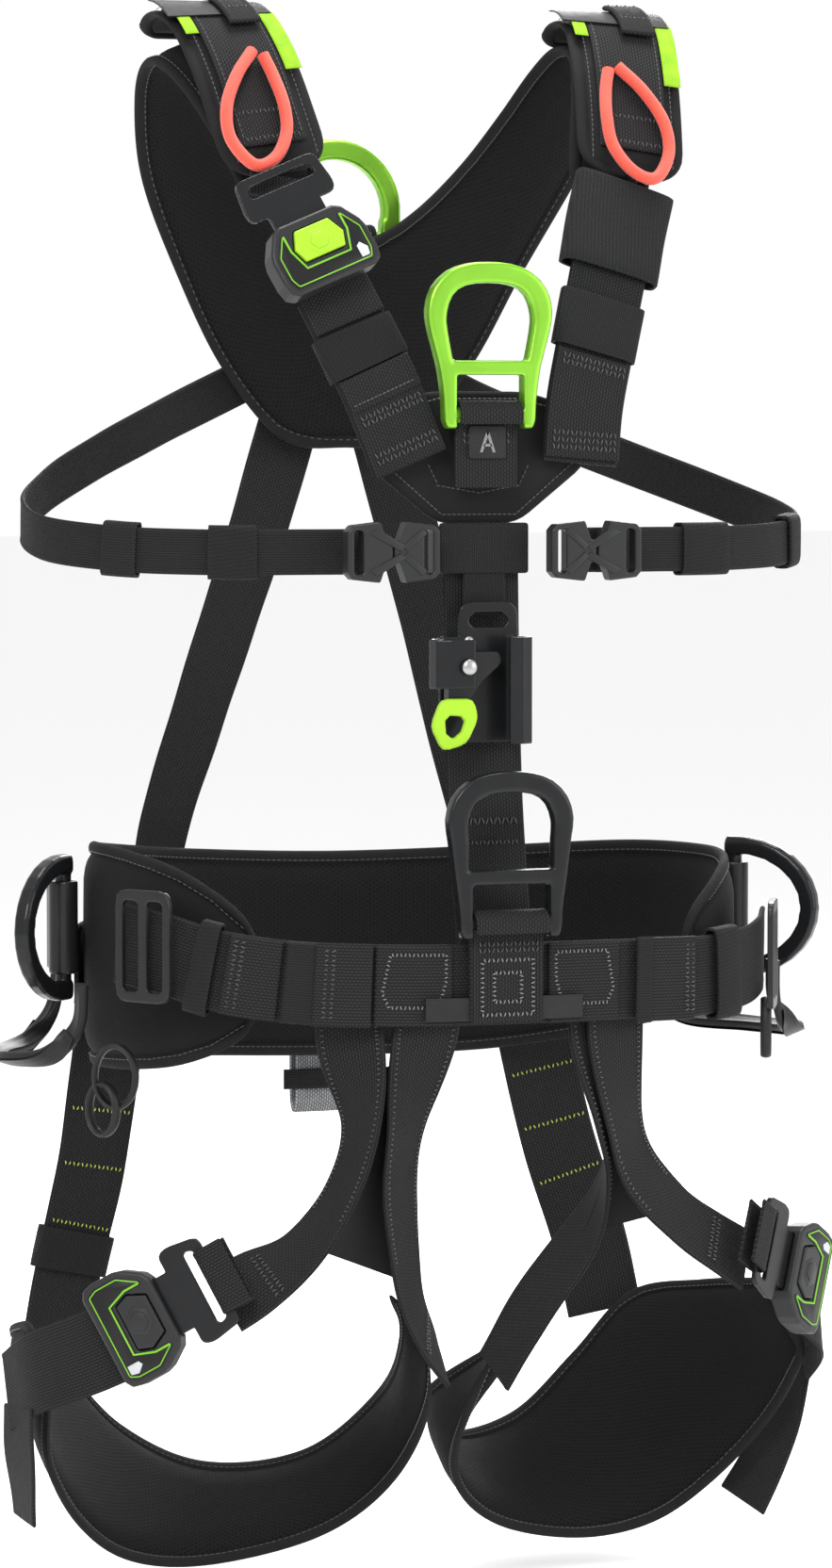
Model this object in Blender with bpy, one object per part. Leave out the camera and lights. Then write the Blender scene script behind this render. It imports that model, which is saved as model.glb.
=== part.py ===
"""Full body rope access harness, seen worn: chest yoke, waist belt and leg loops.

Millimetres until the mesh is made, then metres. +X is the viewer's right, the
wearer faces -Y and +Z is up. The origin is the centre of the wearer's waist.
A route row is x, y, z, heading, tilt: the middle of a band and the way its
outer face looks. Heading 0 looks to the front and 90 to +X. Tilt 90 looks up.
"""

import math

import bmesh
import bpy
import numpy as np

# Webbing and padding.
WEB_WIDE = 45.0
WEB_THICK = 2.6
CHEST_WIDE = 25.0
BACK_WIDE = 38.0
BACK_GAP = 1.0
PAD_THICK = 12.0
LEG_PAD_THICK = 10.0
PAD_EDGE = 4.0
COVER_WIDE = 64.0
COVER_THICK = 8.0
CORD_DIAMETER = 7.0

# Waist belt: half width and half depth of the padding's middle.
WAIST_HALF_WIDTH = 186.0
WAIST_HALF_DEPTH = 136.0
WAIST_HIGH = 122.0
BELT_GAP = 4.0

# Attachment rings.
RING_WIDE = 74.0
RING_HIGH = 84.0
RING_BAR = 11.5
RING_THICK = 9.5  # a little over the pin, so that no faces of the two line up
RING_PIN = 4.5
PIN_GAP = 0.35
ROLL_WALL = 3.4
SIDE_RING_DEEP = 56.0
SIDE_RING_HIGH = 82.0
SIDE_PIVOT = (WAIST_HALF_WIDTH + 20.0, 8.0, 30.0)
SIDE_RING_AIM = 45.0

# Latching buckles.
HOUSING_WIDE = 62.0
HOUSING_HIGH = 40.0
HOUSING_THICK = 14.0
TONGUE_THICK = 3.0
BLADE_WIDE = 34.0
BLADE_DEEP = 17.0
BUCKLE_GAP = 0.5
BUTTON_STROKE = 1.5

# Chest clips.
CLIP_HIGH = 35.0
CLIP_THICK = 10.0
CLIP_LONG = 27.0
PRONG_DEEP = 15.0

# Leg loops: distance of each thigh's centre from the middle.
LEG_X = 122.0

MM = 0.001
MATERIALS = {
    "webbing": ((0.030, 0.031, 0.034), 0.85, 0.0),
    "padding": ((0.018, 0.018, 0.020), 0.92, 0.0),
    "lime_aluminium": ((0.30, 0.62, 0.06), 0.30, 0.9),
    "black_aluminium": ((0.05, 0.05, 0.055), 0.38, 0.8),
    "cord": ((0.95, 0.13, 0.05), 0.75, 0.0),
    "black_plastic": ((0.035, 0.036, 0.038), 0.45, 0.0),
    "grey_plastic": ((0.10, 0.105, 0.11), 0.45, 0.0),
    "lime_plastic": ((0.40, 0.72, 0.06), 0.40, 0.0),
    "steel": ((0.30, 0.30, 0.31), 0.35, 0.9),
    "grey_webbing": ((0.30, 0.31, 0.32), 0.85, 0.0),
}


def clear_scene():
    for obj in list(bpy.data.objects):
        bpy.data.objects.remove(obj)


def material(name):
    found = bpy.data.materials.get(name)
    if found:
        return found
    made = bpy.data.materials.new(name)
    made.use_nodes = True
    shader = made.node_tree.nodes["Principled BSDF"]
    color, rough, metal = MATERIALS[name]
    shader.inputs["Base Color"].default_value = (*color, 1)
    shader.inputs["Roughness"].default_value = rough
    shader.inputs["Metallic"].default_value = metal
    return made


def unit(v):
    v = np.asarray(v, float)
    return v / np.linalg.norm(v)


def facing(heading, tilt):
    h, t = math.radians(heading), math.radians(tilt)
    return np.array([math.sin(h) * math.cos(t), -math.cos(h) * math.cos(t), math.sin(t)])


def smooth(rows, steps):
    """A Catmull-Rom curve through the rows, with this many steps between two of them."""
    rows = np.asarray(rows, float)
    full = np.vstack([2 * rows[0] - rows[1], rows, 2 * rows[-1] - rows[-2]])
    out = []
    for i in range(1, len(full) - 2):
        a, b, c, d = full[i - 1], full[i], full[i + 1], full[i + 2]
        for k in range(steps):
            t = k / steps
            out.append(0.5 * (2 * b + (c - a) * t + (2 * a - 5 * b + 4 * c - d) * t * t
                              + (3 * b - a - 3 * c + d) * t ** 3))
    out.append(full[-2])
    return np.array(out)


def make(name, verts, faces, slot, origin=(0, 0, 0)):
    """An object from points in millimetres, with its faces turned outwards."""
    origin = np.asarray(origin, float)
    mesh = bpy.data.meshes.new(name)
    mesh.from_pydata([tuple((np.asarray(v) - origin) * MM) for v in verts], [], faces)
    bm = bmesh.new()
    bm.from_mesh(mesh)
    bmesh.ops.recalc_face_normals(bm, faces=bm.faces)
    bm.to_mesh(mesh)
    bm.free()
    obj = bpy.data.objects.new(name, mesh)
    obj.location = origin * MM
    bpy.context.collection.objects.link(obj)
    mesh.materials.append(material(slot))
    return obj


def rings(name, loops, slot, origin=(0, 0, 0)):
    """A solid through closed loops of equal length, capped at both ends."""
    count = len(loops[0])
    verts = [p for loop in loops for p in loop]
    faces = []
    for i in range(len(loops) - 1):
        for j in range(count):
            k = (j + 1) % count
            faces.append((i * count + j, i * count + k, (i + 1) * count + k, (i + 1) * count + j))
    faces.append(tuple(range(count))[::-1])
    last = (len(loops) - 1) * count
    faces.append(tuple(last + j for j in range(count)))
    return make(name, verts, faces, slot, origin)


def strap(name, rows, wide, thick, slot="webbing", steps=4):
    """A flat band along a route."""
    path = smooth(rows, steps)
    points = path[:, :3]
    along = np.gradient(points, axis=0)
    loops = []
    for p, d, (h, t) in zip(points, along, path[:, 3:5]):
        d = unit(d)
        side = unit(np.cross(facing(h, t), d))
        out = np.cross(d, side)
        u, v = side * wide / 2, out * thick / 2
        loops.append([p - u - v, p + u - v, p + u + v, p - u + v])
    return rings(name, loops, slot)


def pad(name, rows, thick, slot="padding", steps=3, rim=9.0):
    """A cushion between two edges. A row is x, y, z of one edge and then of the other."""
    path = smooth(rows, steps)
    a, b = path[:, :3], path[:, 3:6]
    along = np.gradient((a + b) / 2, axis=0)
    loops = []
    for p, q, d in zip(a, b, along):
        across = unit(q - p)
        out = unit(np.cross(unit(d), across))
        e, f, r = out * PAD_EDGE / 2, out * thick / 2, across * rim
        loops.append([p - e, p + r - f, q - r - f, q - e, q + e, q - r + f, p + r + f, p + e])
    return rings(name, loops, slot)


def frame_at(centre, heading, tilt=0.0, roll=0.0):
    """Right, up and outward directions of a flat piece, and its centre."""
    out = facing(heading, tilt)
    h, r = math.radians(heading), math.radians(roll)
    right = np.array([math.cos(h), math.sin(h), 0.0])
    up = np.cross(out, right)
    return (right * math.cos(r) + up * math.sin(r), up * math.cos(r) - right * math.sin(r),
            out, np.asarray(centre, float))


def to_world(place, u, v, w):
    right, up, out, centre = place
    return centre + right * u + up * v + out * w


def rounded(points, radius, steps=3):
    """A polygon with each corner turned into an arc."""
    made = []
    n = len(points)
    for i in range(n):
        p = np.asarray(points[i], float)
        before, after = np.asarray(points[i - 1], float), np.asarray(points[(i + 1) % n], float)
        a, b = unit(before - p), unit(after - p)
        reach = min(radius, 0.45 * np.linalg.norm(before - p), 0.45 * np.linalg.norm(after - p))
        for k in range(steps + 1):
            t = k / steps
            made.append(tuple(p + a * reach * (1 - t) ** 2 + b * reach * t ** 2))
    return made


def plate(name, outer, holes, w0, w1, place, slot, origin=(0, 0, 0), bevel=0.0, rounds=1):
    """A flat outline with holes, from depth w0 to depth w1 of its place."""
    bm = bmesh.new()
    edges = []
    for loop in [outer, *holes]:
        ring = [bm.verts.new((u, v, w0)) for u, v in loop]
        edges += [bm.edges.new((ring[i], ring[(i + 1) % len(ring)])) for i in range(len(ring))]
    bmesh.ops.triangle_fill(bm, use_beauty=True, use_dissolve=False, edges=edges, normal=(0, 0, 1))
    grown = bmesh.ops.extrude_face_region(bm, geom=list(bm.faces))
    moved = [g for g in grown["geom"] if isinstance(g, bmesh.types.BMVert)]
    bmesh.ops.translate(bm, verts=moved, vec=(0, 0, w1 - w0))
    if bevel:
        bmesh.ops.recalc_face_normals(bm, faces=bm.faces)
        bm.normal_update()
        sharp = [e for e in bm.edges if e.calc_face_angle(0) > 1.2
                 and abs(e.verts[0].co.z - e.verts[1].co.z) < 1e-6]
        bmesh.ops.bevel(bm, geom=sharp, offset=bevel, segments=rounds, affect="EDGES", profile=0.5)
    bm.verts.index_update()
    verts = [to_world(place, *v.co) for v in bm.verts]
    faces = [tuple(v.index for v in f.verts) for f in bm.faces]
    bm.free()
    return make(name, verts, faces, slot, origin)


def box(name, lo, hi, place, slot="black_plastic", origin=(0, 0, 0)):
    outline = [(lo[0], lo[1]), (hi[0], lo[1]), (hi[0], hi[1]), (lo[0], hi[1])]
    return plate(name, outline, [], lo[2], hi[2], place, slot, origin)


def circle(cu, cv, radius, steps=20, start=0.0, end=360.0):
    full = abs(end - start) > 359.9
    angles = np.linspace(start, end, steps + (0 if full else 1), endpoint=not full)
    return [(cu + radius * math.cos(math.radians(a)), cv + radius * math.sin(math.radians(a)))
            for a in angles]


def combine(obj, other, operation):
    """Joins or cuts with a second solid, which is then thrown away."""
    modifier = obj.modifiers.new("combine", "BOOLEAN")
    modifier.operation = operation
    modifier.solver = "EXACT"
    modifier.object = other
    bpy.context.view_layer.update()
    graph = bpy.context.evaluated_depsgraph_get()
    mesh = bpy.data.meshes.new_from_object(obj.evaluated_get(graph))
    obj.modifiers.clear()
    obj.data = mesh
    while len(mesh.materials) > 1:
        mesh.materials.pop()
    mesh.polygons.foreach_set("material_index", [0] * len(mesh.polygons))
    bpy.data.objects.remove(other)
    return obj


def cord(name, route):
    """A round cord through the route, as a curve with filled ends."""
    data = bpy.data.curves.new(name, "CURVE")
    data.dimensions = "3D"
    data.bevel_depth = CORD_DIAMETER / 2 * MM
    data.bevel_resolution = 2
    data.use_fill_caps = True
    points = smooth(route, 2)
    spline = data.splines.new("POLY")
    spline.points.add(len(points) - 1)
    for point, at in zip(spline.points, points):
        point.co = (*(at * MM), 1)
    obj = bpy.data.objects.new(name, data)
    bpy.context.collection.objects.link(obj)
    data.materials.append(material("cord"))
    return obj


def mirrored(rows):
    """The same route on the other side of the body."""
    return [(-x, y, z, -h, t) for x, y, z, h, t in rows]


# --- chest yoke ------------------------------------------------------------

YOKE_HALF = [
    (22, 104, 424, 40, 108, 303),
    (45, 101, 440, 78, 105, 345),
    (68, 93, 465, 108, 99, 400),
    (84, 76, 492, 134, 82, 452),
    (92, 50, 515, 148, 52, 495),
    (95, 22, 527, 153, 20, 514),
    (94, -6, 522, 150, -10, 508),
    (86, -30, 500, 140, -33, 486),
    (78, -47, 470, 128, -49, 456),
    (73, -58, 442, 118, -60, 430),
]


def yoke():
    middle = [(0, 105, 418, 0, 109, 298)]
    left = [(-a, b, c, -d, e, f) for a, b, c, d, e, f in YOKE_HALF]
    pad("yoke_pad", left[::-1] + middle + YOKE_HALF, PAD_THICK)


COVER_ROUTE = [
    (122, 40, 530, 0, 120),
    (122, 12, 541, 0, 92),
    (120, -16, 535, 0, 62),
    (115, -40, 511, 0, 36),
    (110, -58, 480, 0, 26),
    (105, -72, 450, 0, 24),
]
LOOP_ROUTE = [
    (113, -49, 518), (125, -58, 504), (134, -67, 486), (134, -74, 468), (123, -81, 454),
    (110, -79, 458), (101, -72, 472), (100, -65, 488), (103, -56, 504), (107, -50, 516),
]


def covers():
    strap("shoulder_cover_right", COVER_ROUTE, COVER_WIDE, COVER_THICK, "padding")
    strap("shoulder_cover_left", mirrored(COVER_ROUTE), COVER_WIDE, COVER_THICK, "padding")
    cord("park_loop_right", [(x - 7, y - 1, z - 4) for x, y, z in LOOP_ROUTE])
    cord("park_loop_left", [(-x, y, z) for x, y, z in LOOP_ROUTE])


# --- webbing of the upper body ------------------------------------------------

SHOULDER_BUCKLE = ((-94, -104, 406), 0.0, 20.0, 23.0)


def shoulder_webs():
    strap("shoulder_web_right", [
        (98, -77, 440, 0, 24), (90, -85, 420, 0, 22), (82, -94, 396, 0, 18),
        (70, -104, 358, 0, 10), (61, -109, 322, 0, 4), (58, -110, 290, 0, 0),
    ], WEB_WIDE, WEB_THICK * 1.6)
    strap("shoulder_web_left", [
        (-83, -95.5, 384, 0, 18), (-72, -104, 358, 0, 12), (-58, -109, 326, 0, 4),
        (-44, -110, 292, 0, 0),
    ], WEB_WIDE, WEB_THICK * 1.6)
    strap("tongue_web_left", [
        (-105, -79, 447, 0, 22), (-106, -82, 441, 0, 24), (-107, -85, 435, 0, 26),
    ], WEB_WIDE - 5, WEB_THICK)


STERNAL_Y = -98.0


def sternal():
    place = frame_at((0, STERNAL_Y, 0), 0)
    outline = [(-24, 257), (24, 257), (66, 290), (62, 320), (30, 330),
               (-30, 330), (-62, 320), (-66, 290)]
    plate("sternal_pad", rounded(outline, 8), [], 0, 6, place, "padding")
    centre = frame_at((0, -110, 243.5), 0)
    plate("chest_web_centre", rounded([(-26, -14), (26, -14), (26, 14), (-26, 14)], 2, 1),
          [], 0, 5, centre, "webbing")
    strap("front_web", [
        (0, -107, 256, 0, 0), (0, -108, 220, 0, 2), (0, -110, 170, 0, 2),
        (0, -114, 110, 0, 4), (0, -122, 60, 0, 6), (0, -131, 20, 0, 6),
    ], WEB_WIDE, WEB_THICK)


CHEST_ROUTE = [
    (64, -108.5, 242, 0, 0), (104, -105.5, 242, 10, 0), (152, -94, 242, 30, 0),
    (200, -66, 244, 54, 0), (229, -22, 250, 88, 0), (222, 26, 262, 112, 0),
    (184, 70, 282, 142, 0), (132, 101, 305, 162, 0), (92, 118, 322, 176, 0),
    (62, 119.5, 336, 180, 0),
]
# The first number is measured from where the two bands lie side by side.
BACK_ROUTE = [
    (0, 128, 338, 180, 0), (12, 128, 300, 178, 0), (27, 129, 250, 174, 0),
    (46, 134, 190, 170, 0), (64, 141, 130, 164, 0), (80, 144, 78, 158, 0),
    (88, 140, 40, 152, 0), (92, 138, 12, 150, 0),
]


def body_webs():
    strap("chest_web_right", CHEST_ROUTE, CHEST_WIDE, WEB_THICK, steps=3)
    strap("chest_web_left", mirrored(CHEST_ROUTE), CHEST_WIDE, WEB_THICK, steps=3)
    beside = BACK_WIDE / 2 + BACK_GAP
    route = [(beside + x, y, z, h, t) for x, y, z, h, t in BACK_ROUTE]
    strap("back_web_right", route, BACK_WIDE, WEB_THICK, steps=3)
    strap("back_web_left", mirrored(route), BACK_WIDE, WEB_THICK, steps=3)


# --- attachment rings ------------------------------------------------------

STERNAL_PIN = (0.0, -119.0, 317.0)
VENTRAL_PIN = (0.0, -151.0, 38.0)
DORSAL_PIN = (0.0, 127.0, 421.0)


def ring_outline(foot):
    """Half of the ring's outer edge, from its foot up to its crown."""
    half = RING_WIDE / 2
    return [(foot - 2, -7.5), (foot, -3), (foot + 0.5, 8), (foot + 3, 26), (half - 1.5, 46),
            (half, RING_HIGH * 0.69), (half - 3.5, RING_HIGH * 0.83),
            (half * 0.66, RING_HIGH * 0.94), (half * 0.34, RING_HIGH * 0.99)]


def arch(half, crown):
    """A smooth arch from half of its points, with its crown in the middle."""
    points = half + [(0, crown)] + [(-u, v) for u, v in half[::-1]]
    return [tuple(p) for p in smooth(points, 2)]


def crossbar_ring(name, pin, foot, slot):
    """A forged ring with a crossbar, hung on a pin between its two feet."""
    place = frame_at(pin, 0)
    half = ring_outline(foot)
    outer = arch(half, RING_HIGH)
    inside = foot - RING_BAR * 0.62
    wide = RING_WIDE / 2 - RING_BAR
    top = [(inside + 2, 30), (wide - 0.5, 46), (wide, RING_HIGH * 0.66),
           (wide - 3.5, RING_HIGH * 0.78), (wide * 0.55, RING_HIGH - RING_BAR - 1.5)]
    upper = arch(top, RING_HIGH - RING_BAR)
    lower = [(inside, -12), (inside + 1, 22), (-inside - 1, 22), (-inside, -12)]
    half_thick = RING_THICK / 2
    ring = plate(name, outer, [upper], -half_thick, half_thick, place, slot, pin, 1.8, 2)
    gap = box("gap", (-inside, -12, -9), (inside, 22, 9), place)
    combine(ring, gap, "DIFFERENCE")
    across = frame_at(pin, 90)
    bar = plate("bar", circle(0, 0, RING_PIN, 24), [], -inside - 4, inside + 4, across, slot, pin)
    combine(ring, bar, "UNION")
    return inside


def roll_web(name, pin, wide, tail, behind, thick=5.0):
    """Webbing rolled round a ring's pin, with its tail hanging straight down."""
    hole = RING_PIN + PIN_GAP
    outside = hole + ROLL_WALL
    across = frame_at(pin, 90)
    sign = 1 if behind > 0 else -1
    angles = circle(0, 0, outside, 20, -60, 240)
    if sign > 0:
        outline = angles + [(behind - thick / 2, -outside - 3), (behind - thick / 2, -tail),
                            (behind + thick / 2, -tail), (behind + thick / 2, -outside - 1)]
    else:
        outline = angles + [(behind - thick / 2, -outside - 1), (behind - thick / 2, -tail),
                            (behind + thick / 2, -tail), (behind + thick / 2, -outside - 3)]
    return plate(name, outline, [circle(0, 0, hole, 24)], -wide / 2, wide / 2, across, "webbing")


def front_rings():
    inside = crossbar_ring("sternal_ring", STERNAL_PIN, 27.0, "lime_aluminium")
    roll_web("sternal_ring_web", STERNAL_PIN, 2 * inside - 2, 40, 4.0, 4.0)
    inside = crossbar_ring("ventral_ring", VENTRAL_PIN, 30.0, "black_aluminium")
    roll_web("ventral_ring_web", VENTRAL_PIN, 2 * inside - 2, 54, 5.0, 6.0)


def dorsal_ring():
    place = frame_at(DORSAL_PIN, 180)
    outer = circle(0, 17, 41, 22, -4, 184) + [(-41, -4), (-37, -7), (37, -7), (41, -4)]
    inner = circle(0, 16, 30, 18, -8, 188)
    half_thick = RING_THICK / 2
    ring = plate("dorsal_ring", outer, [inner], -half_thick, half_thick, place, "lime_aluminium",
                 DORSAL_PIN, 1.8)
    combine(ring, box("gap", (-29, -12, -9), (29, 14, 9), place), "DIFFERENCE")
    across = frame_at(DORSAL_PIN, 90)
    bar = plate("bar", circle(0, 0, RING_PIN, 24), [], -33, 33, across, "steel")
    combine(ring, bar, "UNION")
    roll_web("dorsal_ring_web", DORSAL_PIN, 50, 112, -5.5, 4.0)


def side_ring(side):
    name = "left" if side < 0 else "right"
    pivot = (SIDE_PIVOT[0] * side, SIDE_PIVOT[1], SIDE_PIVOT[2])
    aim = math.radians(SIDE_RING_AIM)
    right = np.array([side * math.cos(aim), -math.sin(aim), 0.0])
    up = np.array([0.0, 0.0, 1.0])
    place = (right, up, np.cross(right, up), np.asarray(pivot))
    half = SIDE_RING_HIGH / 2
    bow = [(SIDE_RING_DEEP * math.cos(math.radians(a)) * 0.86 + 4, half * math.sin(math.radians(a)))
           for a in range(-84, 85, 12)]
    outer = [(-5.5, -half + 4), (-4, -half), (4, -half)] + bow + [(4, half), (-4, half), (-5.5, half - 4)]
    bar = RING_BAR - 1.5
    inner = [((SIDE_RING_DEEP - bar) * math.cos(math.radians(a)) * 0.86 + 3,
              (half - bar) * math.sin(math.radians(a))) for a in range(-80, 81, 16)]
    inner = [(-9, -half + bar)] + inner + [(-9, half - bar)]
    half_thick = RING_THICK / 2
    ring = plate("side_ring_" + name, outer, [], -half_thick, half_thick, place, "black_aluminium",
                 pivot, 1.8)
    combine(ring, plate("gap", inner, [], -9, 9, place, "steel"), "DIFFERENCE")
    level = (np.array([1.0, 0, 0]), np.array([0, 1.0, 0]), up, np.asarray(pivot))
    pin = plate("bar", circle(0, 0, RING_PIN, 24), [], -half + bar - 4, half - bar + 4, level, "steel")
    combine(ring, pin, "UNION")
    hole = RING_PIN + PIN_GAP
    holder = plate("side_ring_holder_" + name, circle(0, 0, hole + ROLL_WALL, 22), [circle(0, 0, hole, 24)],
                   -26, 26, level, "black_plastic")
    back = frame_at((pivot[0] - side * 2.2, pivot[1] + 23, pivot[2]), side * 96)
    ear = box("ear", (-15, -26, -1.8), (15, 26, 1.8), back)
    combine(holder, ear, "UNION")


# --- waist belt ------------------------------------------------------------

def waist_point(angle, grow):
    """A point of the belt. Angle 0 is the back and 90 is +X."""
    a = math.radians(angle)
    return ((WAIST_HALF_WIDTH + grow) * math.sin(a), (WAIST_HALF_DEPTH + grow) * math.cos(a))


def belt_depth(x):
    """How far behind the middle the belt's padding is at this x."""
    return WAIST_HALF_DEPTH * math.sqrt(1 - (x / WAIST_HALF_WIDTH) ** 2)


def waist_heading(angle):
    a = math.radians(angle)
    nx = math.sin(a) / WAIST_HALF_WIDTH
    ny = math.cos(a) / WAIST_HALF_DEPTH
    return math.degrees(math.atan2(nx, -ny))


WAIST_ROWS = [
    # angle, middle height, share of the full height
    (-137, 8, 0.34), (-132, 9, 0.62), (-120, 12, 0.88), (-105, 14, 1.0), (-85, 14, 1.04),
    (-60, 10, 1.02), (-30, 3, 1.0), (0, -2, 1.0), (30, 0, 1.0), (60, 10, 0.92),
    (85, 18, 0.80), (105, 20, 0.74), (120, 16, 0.66), (132, 11, 0.5), (137, 9, 0.3),
]


def waist():
    rows = []
    for angle, middle, share in WAIST_ROWS:
        x, y = waist_point(angle, 0)
        half = WAIST_HIGH * share / 2
        rows.append((x, y, middle + half, x, y, middle - half))
    pad("waist_pad", rows, PAD_THICK)
    grow = PAD_THICK / 2 + BELT_GAP
    route = []
    for angle in range(-80, 81, 20):
        x, y = waist_point(angle, grow)
        route.append((x, y, 4 - angle * 0.03, -waist_heading(-angle) if angle else 180, 0))
    strap("waist_web_back", [(x, y, z, 180 - a, 0) for (x, y, z, _, t), a in
                             zip(route, range(-80, 81, 20))], WEB_WIDE, WEB_THICK)
    wide = WAIST_HALF_WIDTH
    front = [
        (-wide - 9, -56, 26, -72, 0), (7 - wide, -86, 22, -58, 0), (30 - wide, -110, 14, -42, 0),
        (68 - wide, -128, 8, -24, 0), (-60, -138, 5, -8, 0), (0, -140, 4, 0, 0),
        (60, -138, 4, 8, 0), (wide - 68, -128, 3, 24, 0), (wide - 30, -110, 5, 42, 0),
        (wide - 7, -86, 9, 58, 0), (wide + 9, -56, 13, 72, 0),
    ]
    strap("waist_web_front", front, WEB_WIDE, WEB_THICK, steps=3)


def waist_buckle(side):
    """A steel frame with a middle bar, which the belt runs through."""
    name = "left" if side < 0 else "right"
    place = frame_at((side * (WAIST_HALF_WIDTH + 3), -84, 26 if side < 0 else 10), side * 62)
    outer = rounded([(-20, -31), (20, -31), (20, 31), (-20, 31)], 8)
    slots = [rounded([(-15, -25), (-3, -25), (-3, 25), (-15, 25)], 2, 1),
             rounded([(3, -25), (15, -25), (15, 25), (3, 25)], 2, 1)]
    pin = tuple(to_world(place, 0, 0, 0))
    plate("waist_buckle_" + name, outer, slots, -1.8, 1.8, place, "steel", pin)


# The first number is measured from the waist's half width.
GEAR_ROUTE = [
    (24, -38, 2, 90, 0), (26, -36, -22, 90, -10), (40, -26, -38, 80, -50),
    (55, 2, -42, 95, -70), (46, 44, -43, 115, -70), (19, 76, -40, 130, -50),
    (3, 84, -24, 130, -10), (-1, 84, 0, 130, 0),
]


def belt_loops():
    route = [(WAIST_HALF_WIDTH + x, y, z, h, t) for x, y, z, h, t in GEAR_ROUTE]
    strap("gear_loop_right", route, 11, 5, "black_plastic")
    strap("gear_loop_left", mirrored(route), 11, 5, "black_plastic")
    strap("haul_loop", [
        (0, 150, -36, 0, 0), (0, 150, -84, 0, 0), (0, 151.5, -94, 0, -45), (0, 155, -98, 0, -90),
        (0, 158.5, -94, 0, -135), (0, 160, -84, 0, -180), (0, 160, -36, 0, -180),
    ], 33, WEB_THICK, "grey_webbing")


# --- leg loops --------------------------------------------------------------

LEG_PAD_ROWS = [
    # lower edge, then upper edge, measured outwards from the thigh's centre
    (-102, -72, -196, -70, -98, -168),
    (-116, -46, -245, -90, -66, -200),
    (-108, -8, -294, -112, 26, -246),
    (-72, 12, -326, -82, 68, -286),
    (-10, 25, -341, -26, 88, -293),
    (40, 20, -335, 22, 100, -270),
    (76, 4, -310, 62, 96, -228),
    (104, -26, -268, 98, 62, -204),
    (114, -58, -224, 110, -8, -188),
]


# The right loop is drawn in a little tighter than the left one.
LEG_PAD_SCALE = {-1: 1.0, 1: 0.9}
# How much higher the right loop's upper edge sits at each row, since it is turned a little.
LEG_PAD_RISE = {-1: (0,) * 9, 1: (0, 0, 0, 6, 18, 26, 20, 6, 0)}
# Outward distance, y, z, then the heading and the tilt of each side's own webbing.
# A riser's y is measured from the middle of the belt's padding above it.
LEG_ROUTES = {
    "riser": {
        -1: [(19, 29, -22, -172, 0), (24, 28, -60, -172, 0), (33, 28, -120, -170, 0),
             (46, 29, -176, -168, 4), (56, 28, -222, -166, 10)],
        1: [(-2, 22, -22, 172, 0), (6, 21, -60, 172, 0), (20, 18, -120, 170, 0),
            (38, 15, -176, 168, 4), (48, 13, -222, 166, 10)],
    },
    "outer": {
        -1: [(-38, -124.5, -2, -16, 0), (-38, -125, -24, -24, 0), (-42, -133, -70, -76, 4), (-30, -134, -108, -80, 22),
             (-8, -133, -138, -64, 40), (20, -131, -156, -34, 18), (36, -127, -166, -27, 6)],
        1: [(-50, -130.6, -2, 13, 0), (-50, -130.6, -30, 14, 0), (-46, -133, -74, 36, 0), (-36, -133, -104, 36, 6),
            (-12, -131, -130, 38, 14), (14, -127, -148, 42, 12), (34, -121, -160, 44, 6)],
    },
    "inner": {
        -1: [(-80, -134.4, -2, -5, 0), (-79, -133.6, -24, -4, 0), (-70, -130, -70, 34, 0), (-68, -124, -108, 40, 0),
             (-76, -112, -150, 46, 0), (-88, -97, -182, 60, 0), (-112, -74, -216, 84, 0)],
        1: [(-60, -127.6, -2, 13, 0), (-60, -127.6, -28, 14, 0), (-56, -130, -72, 50, 0), (-52, -124, -104, 70, 0),
            (-62, -114, -140, 92, 0), (-84, -96, -180, 98, 0), (-101, -76, -222, 96, 0)],
    },
    "buckle": {
        -1: [(80, -97, -186, -38, 0), (100, -84, -197, -54, 0), (121, -58, -210, -76, 0),
             (127, -22, -226, -92, 0)],
        1: [(82.5, -88, -184, 40, 0), (96.8, -76.4, -194, 56, 0), (109, -58, -208, 76, 0),
            (114, -22, -226, 92, 0)],
    },
}


def leg(side):
    name = "left" if side < 0 else "right"
    scale = LEG_PAD_SCALE[side]
    rows = []
    for (a, b, c, d, e, f), rise in zip(LEG_PAD_ROWS, LEG_PAD_RISE[side]):
        rows.append((side * (LEG_X + a * scale), b, c, side * (LEG_X + d * scale), e, f + rise))
    pad("leg_pad_" + name, rows, LEG_PAD_THICK)
    for kind, wide in (("riser", WEB_WIDE), ("outer", 38.0), ("inner", 38.0), ("buckle", WEB_WIDE)):
        behind = belt_depth(LEG_X + LEG_ROUTES[kind][side][0][0]) if kind == "riser" else 0.0
        route = [(side * (LEG_X + x), behind + y, z, h, t) for x, y, z, h, t in LEG_ROUTES[kind][side]]
        strap("leg_" + kind + "_web_" + name, route, wide, WEB_THICK)


# --- latching buckle: tongue, housing and button -----------------------------

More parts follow.
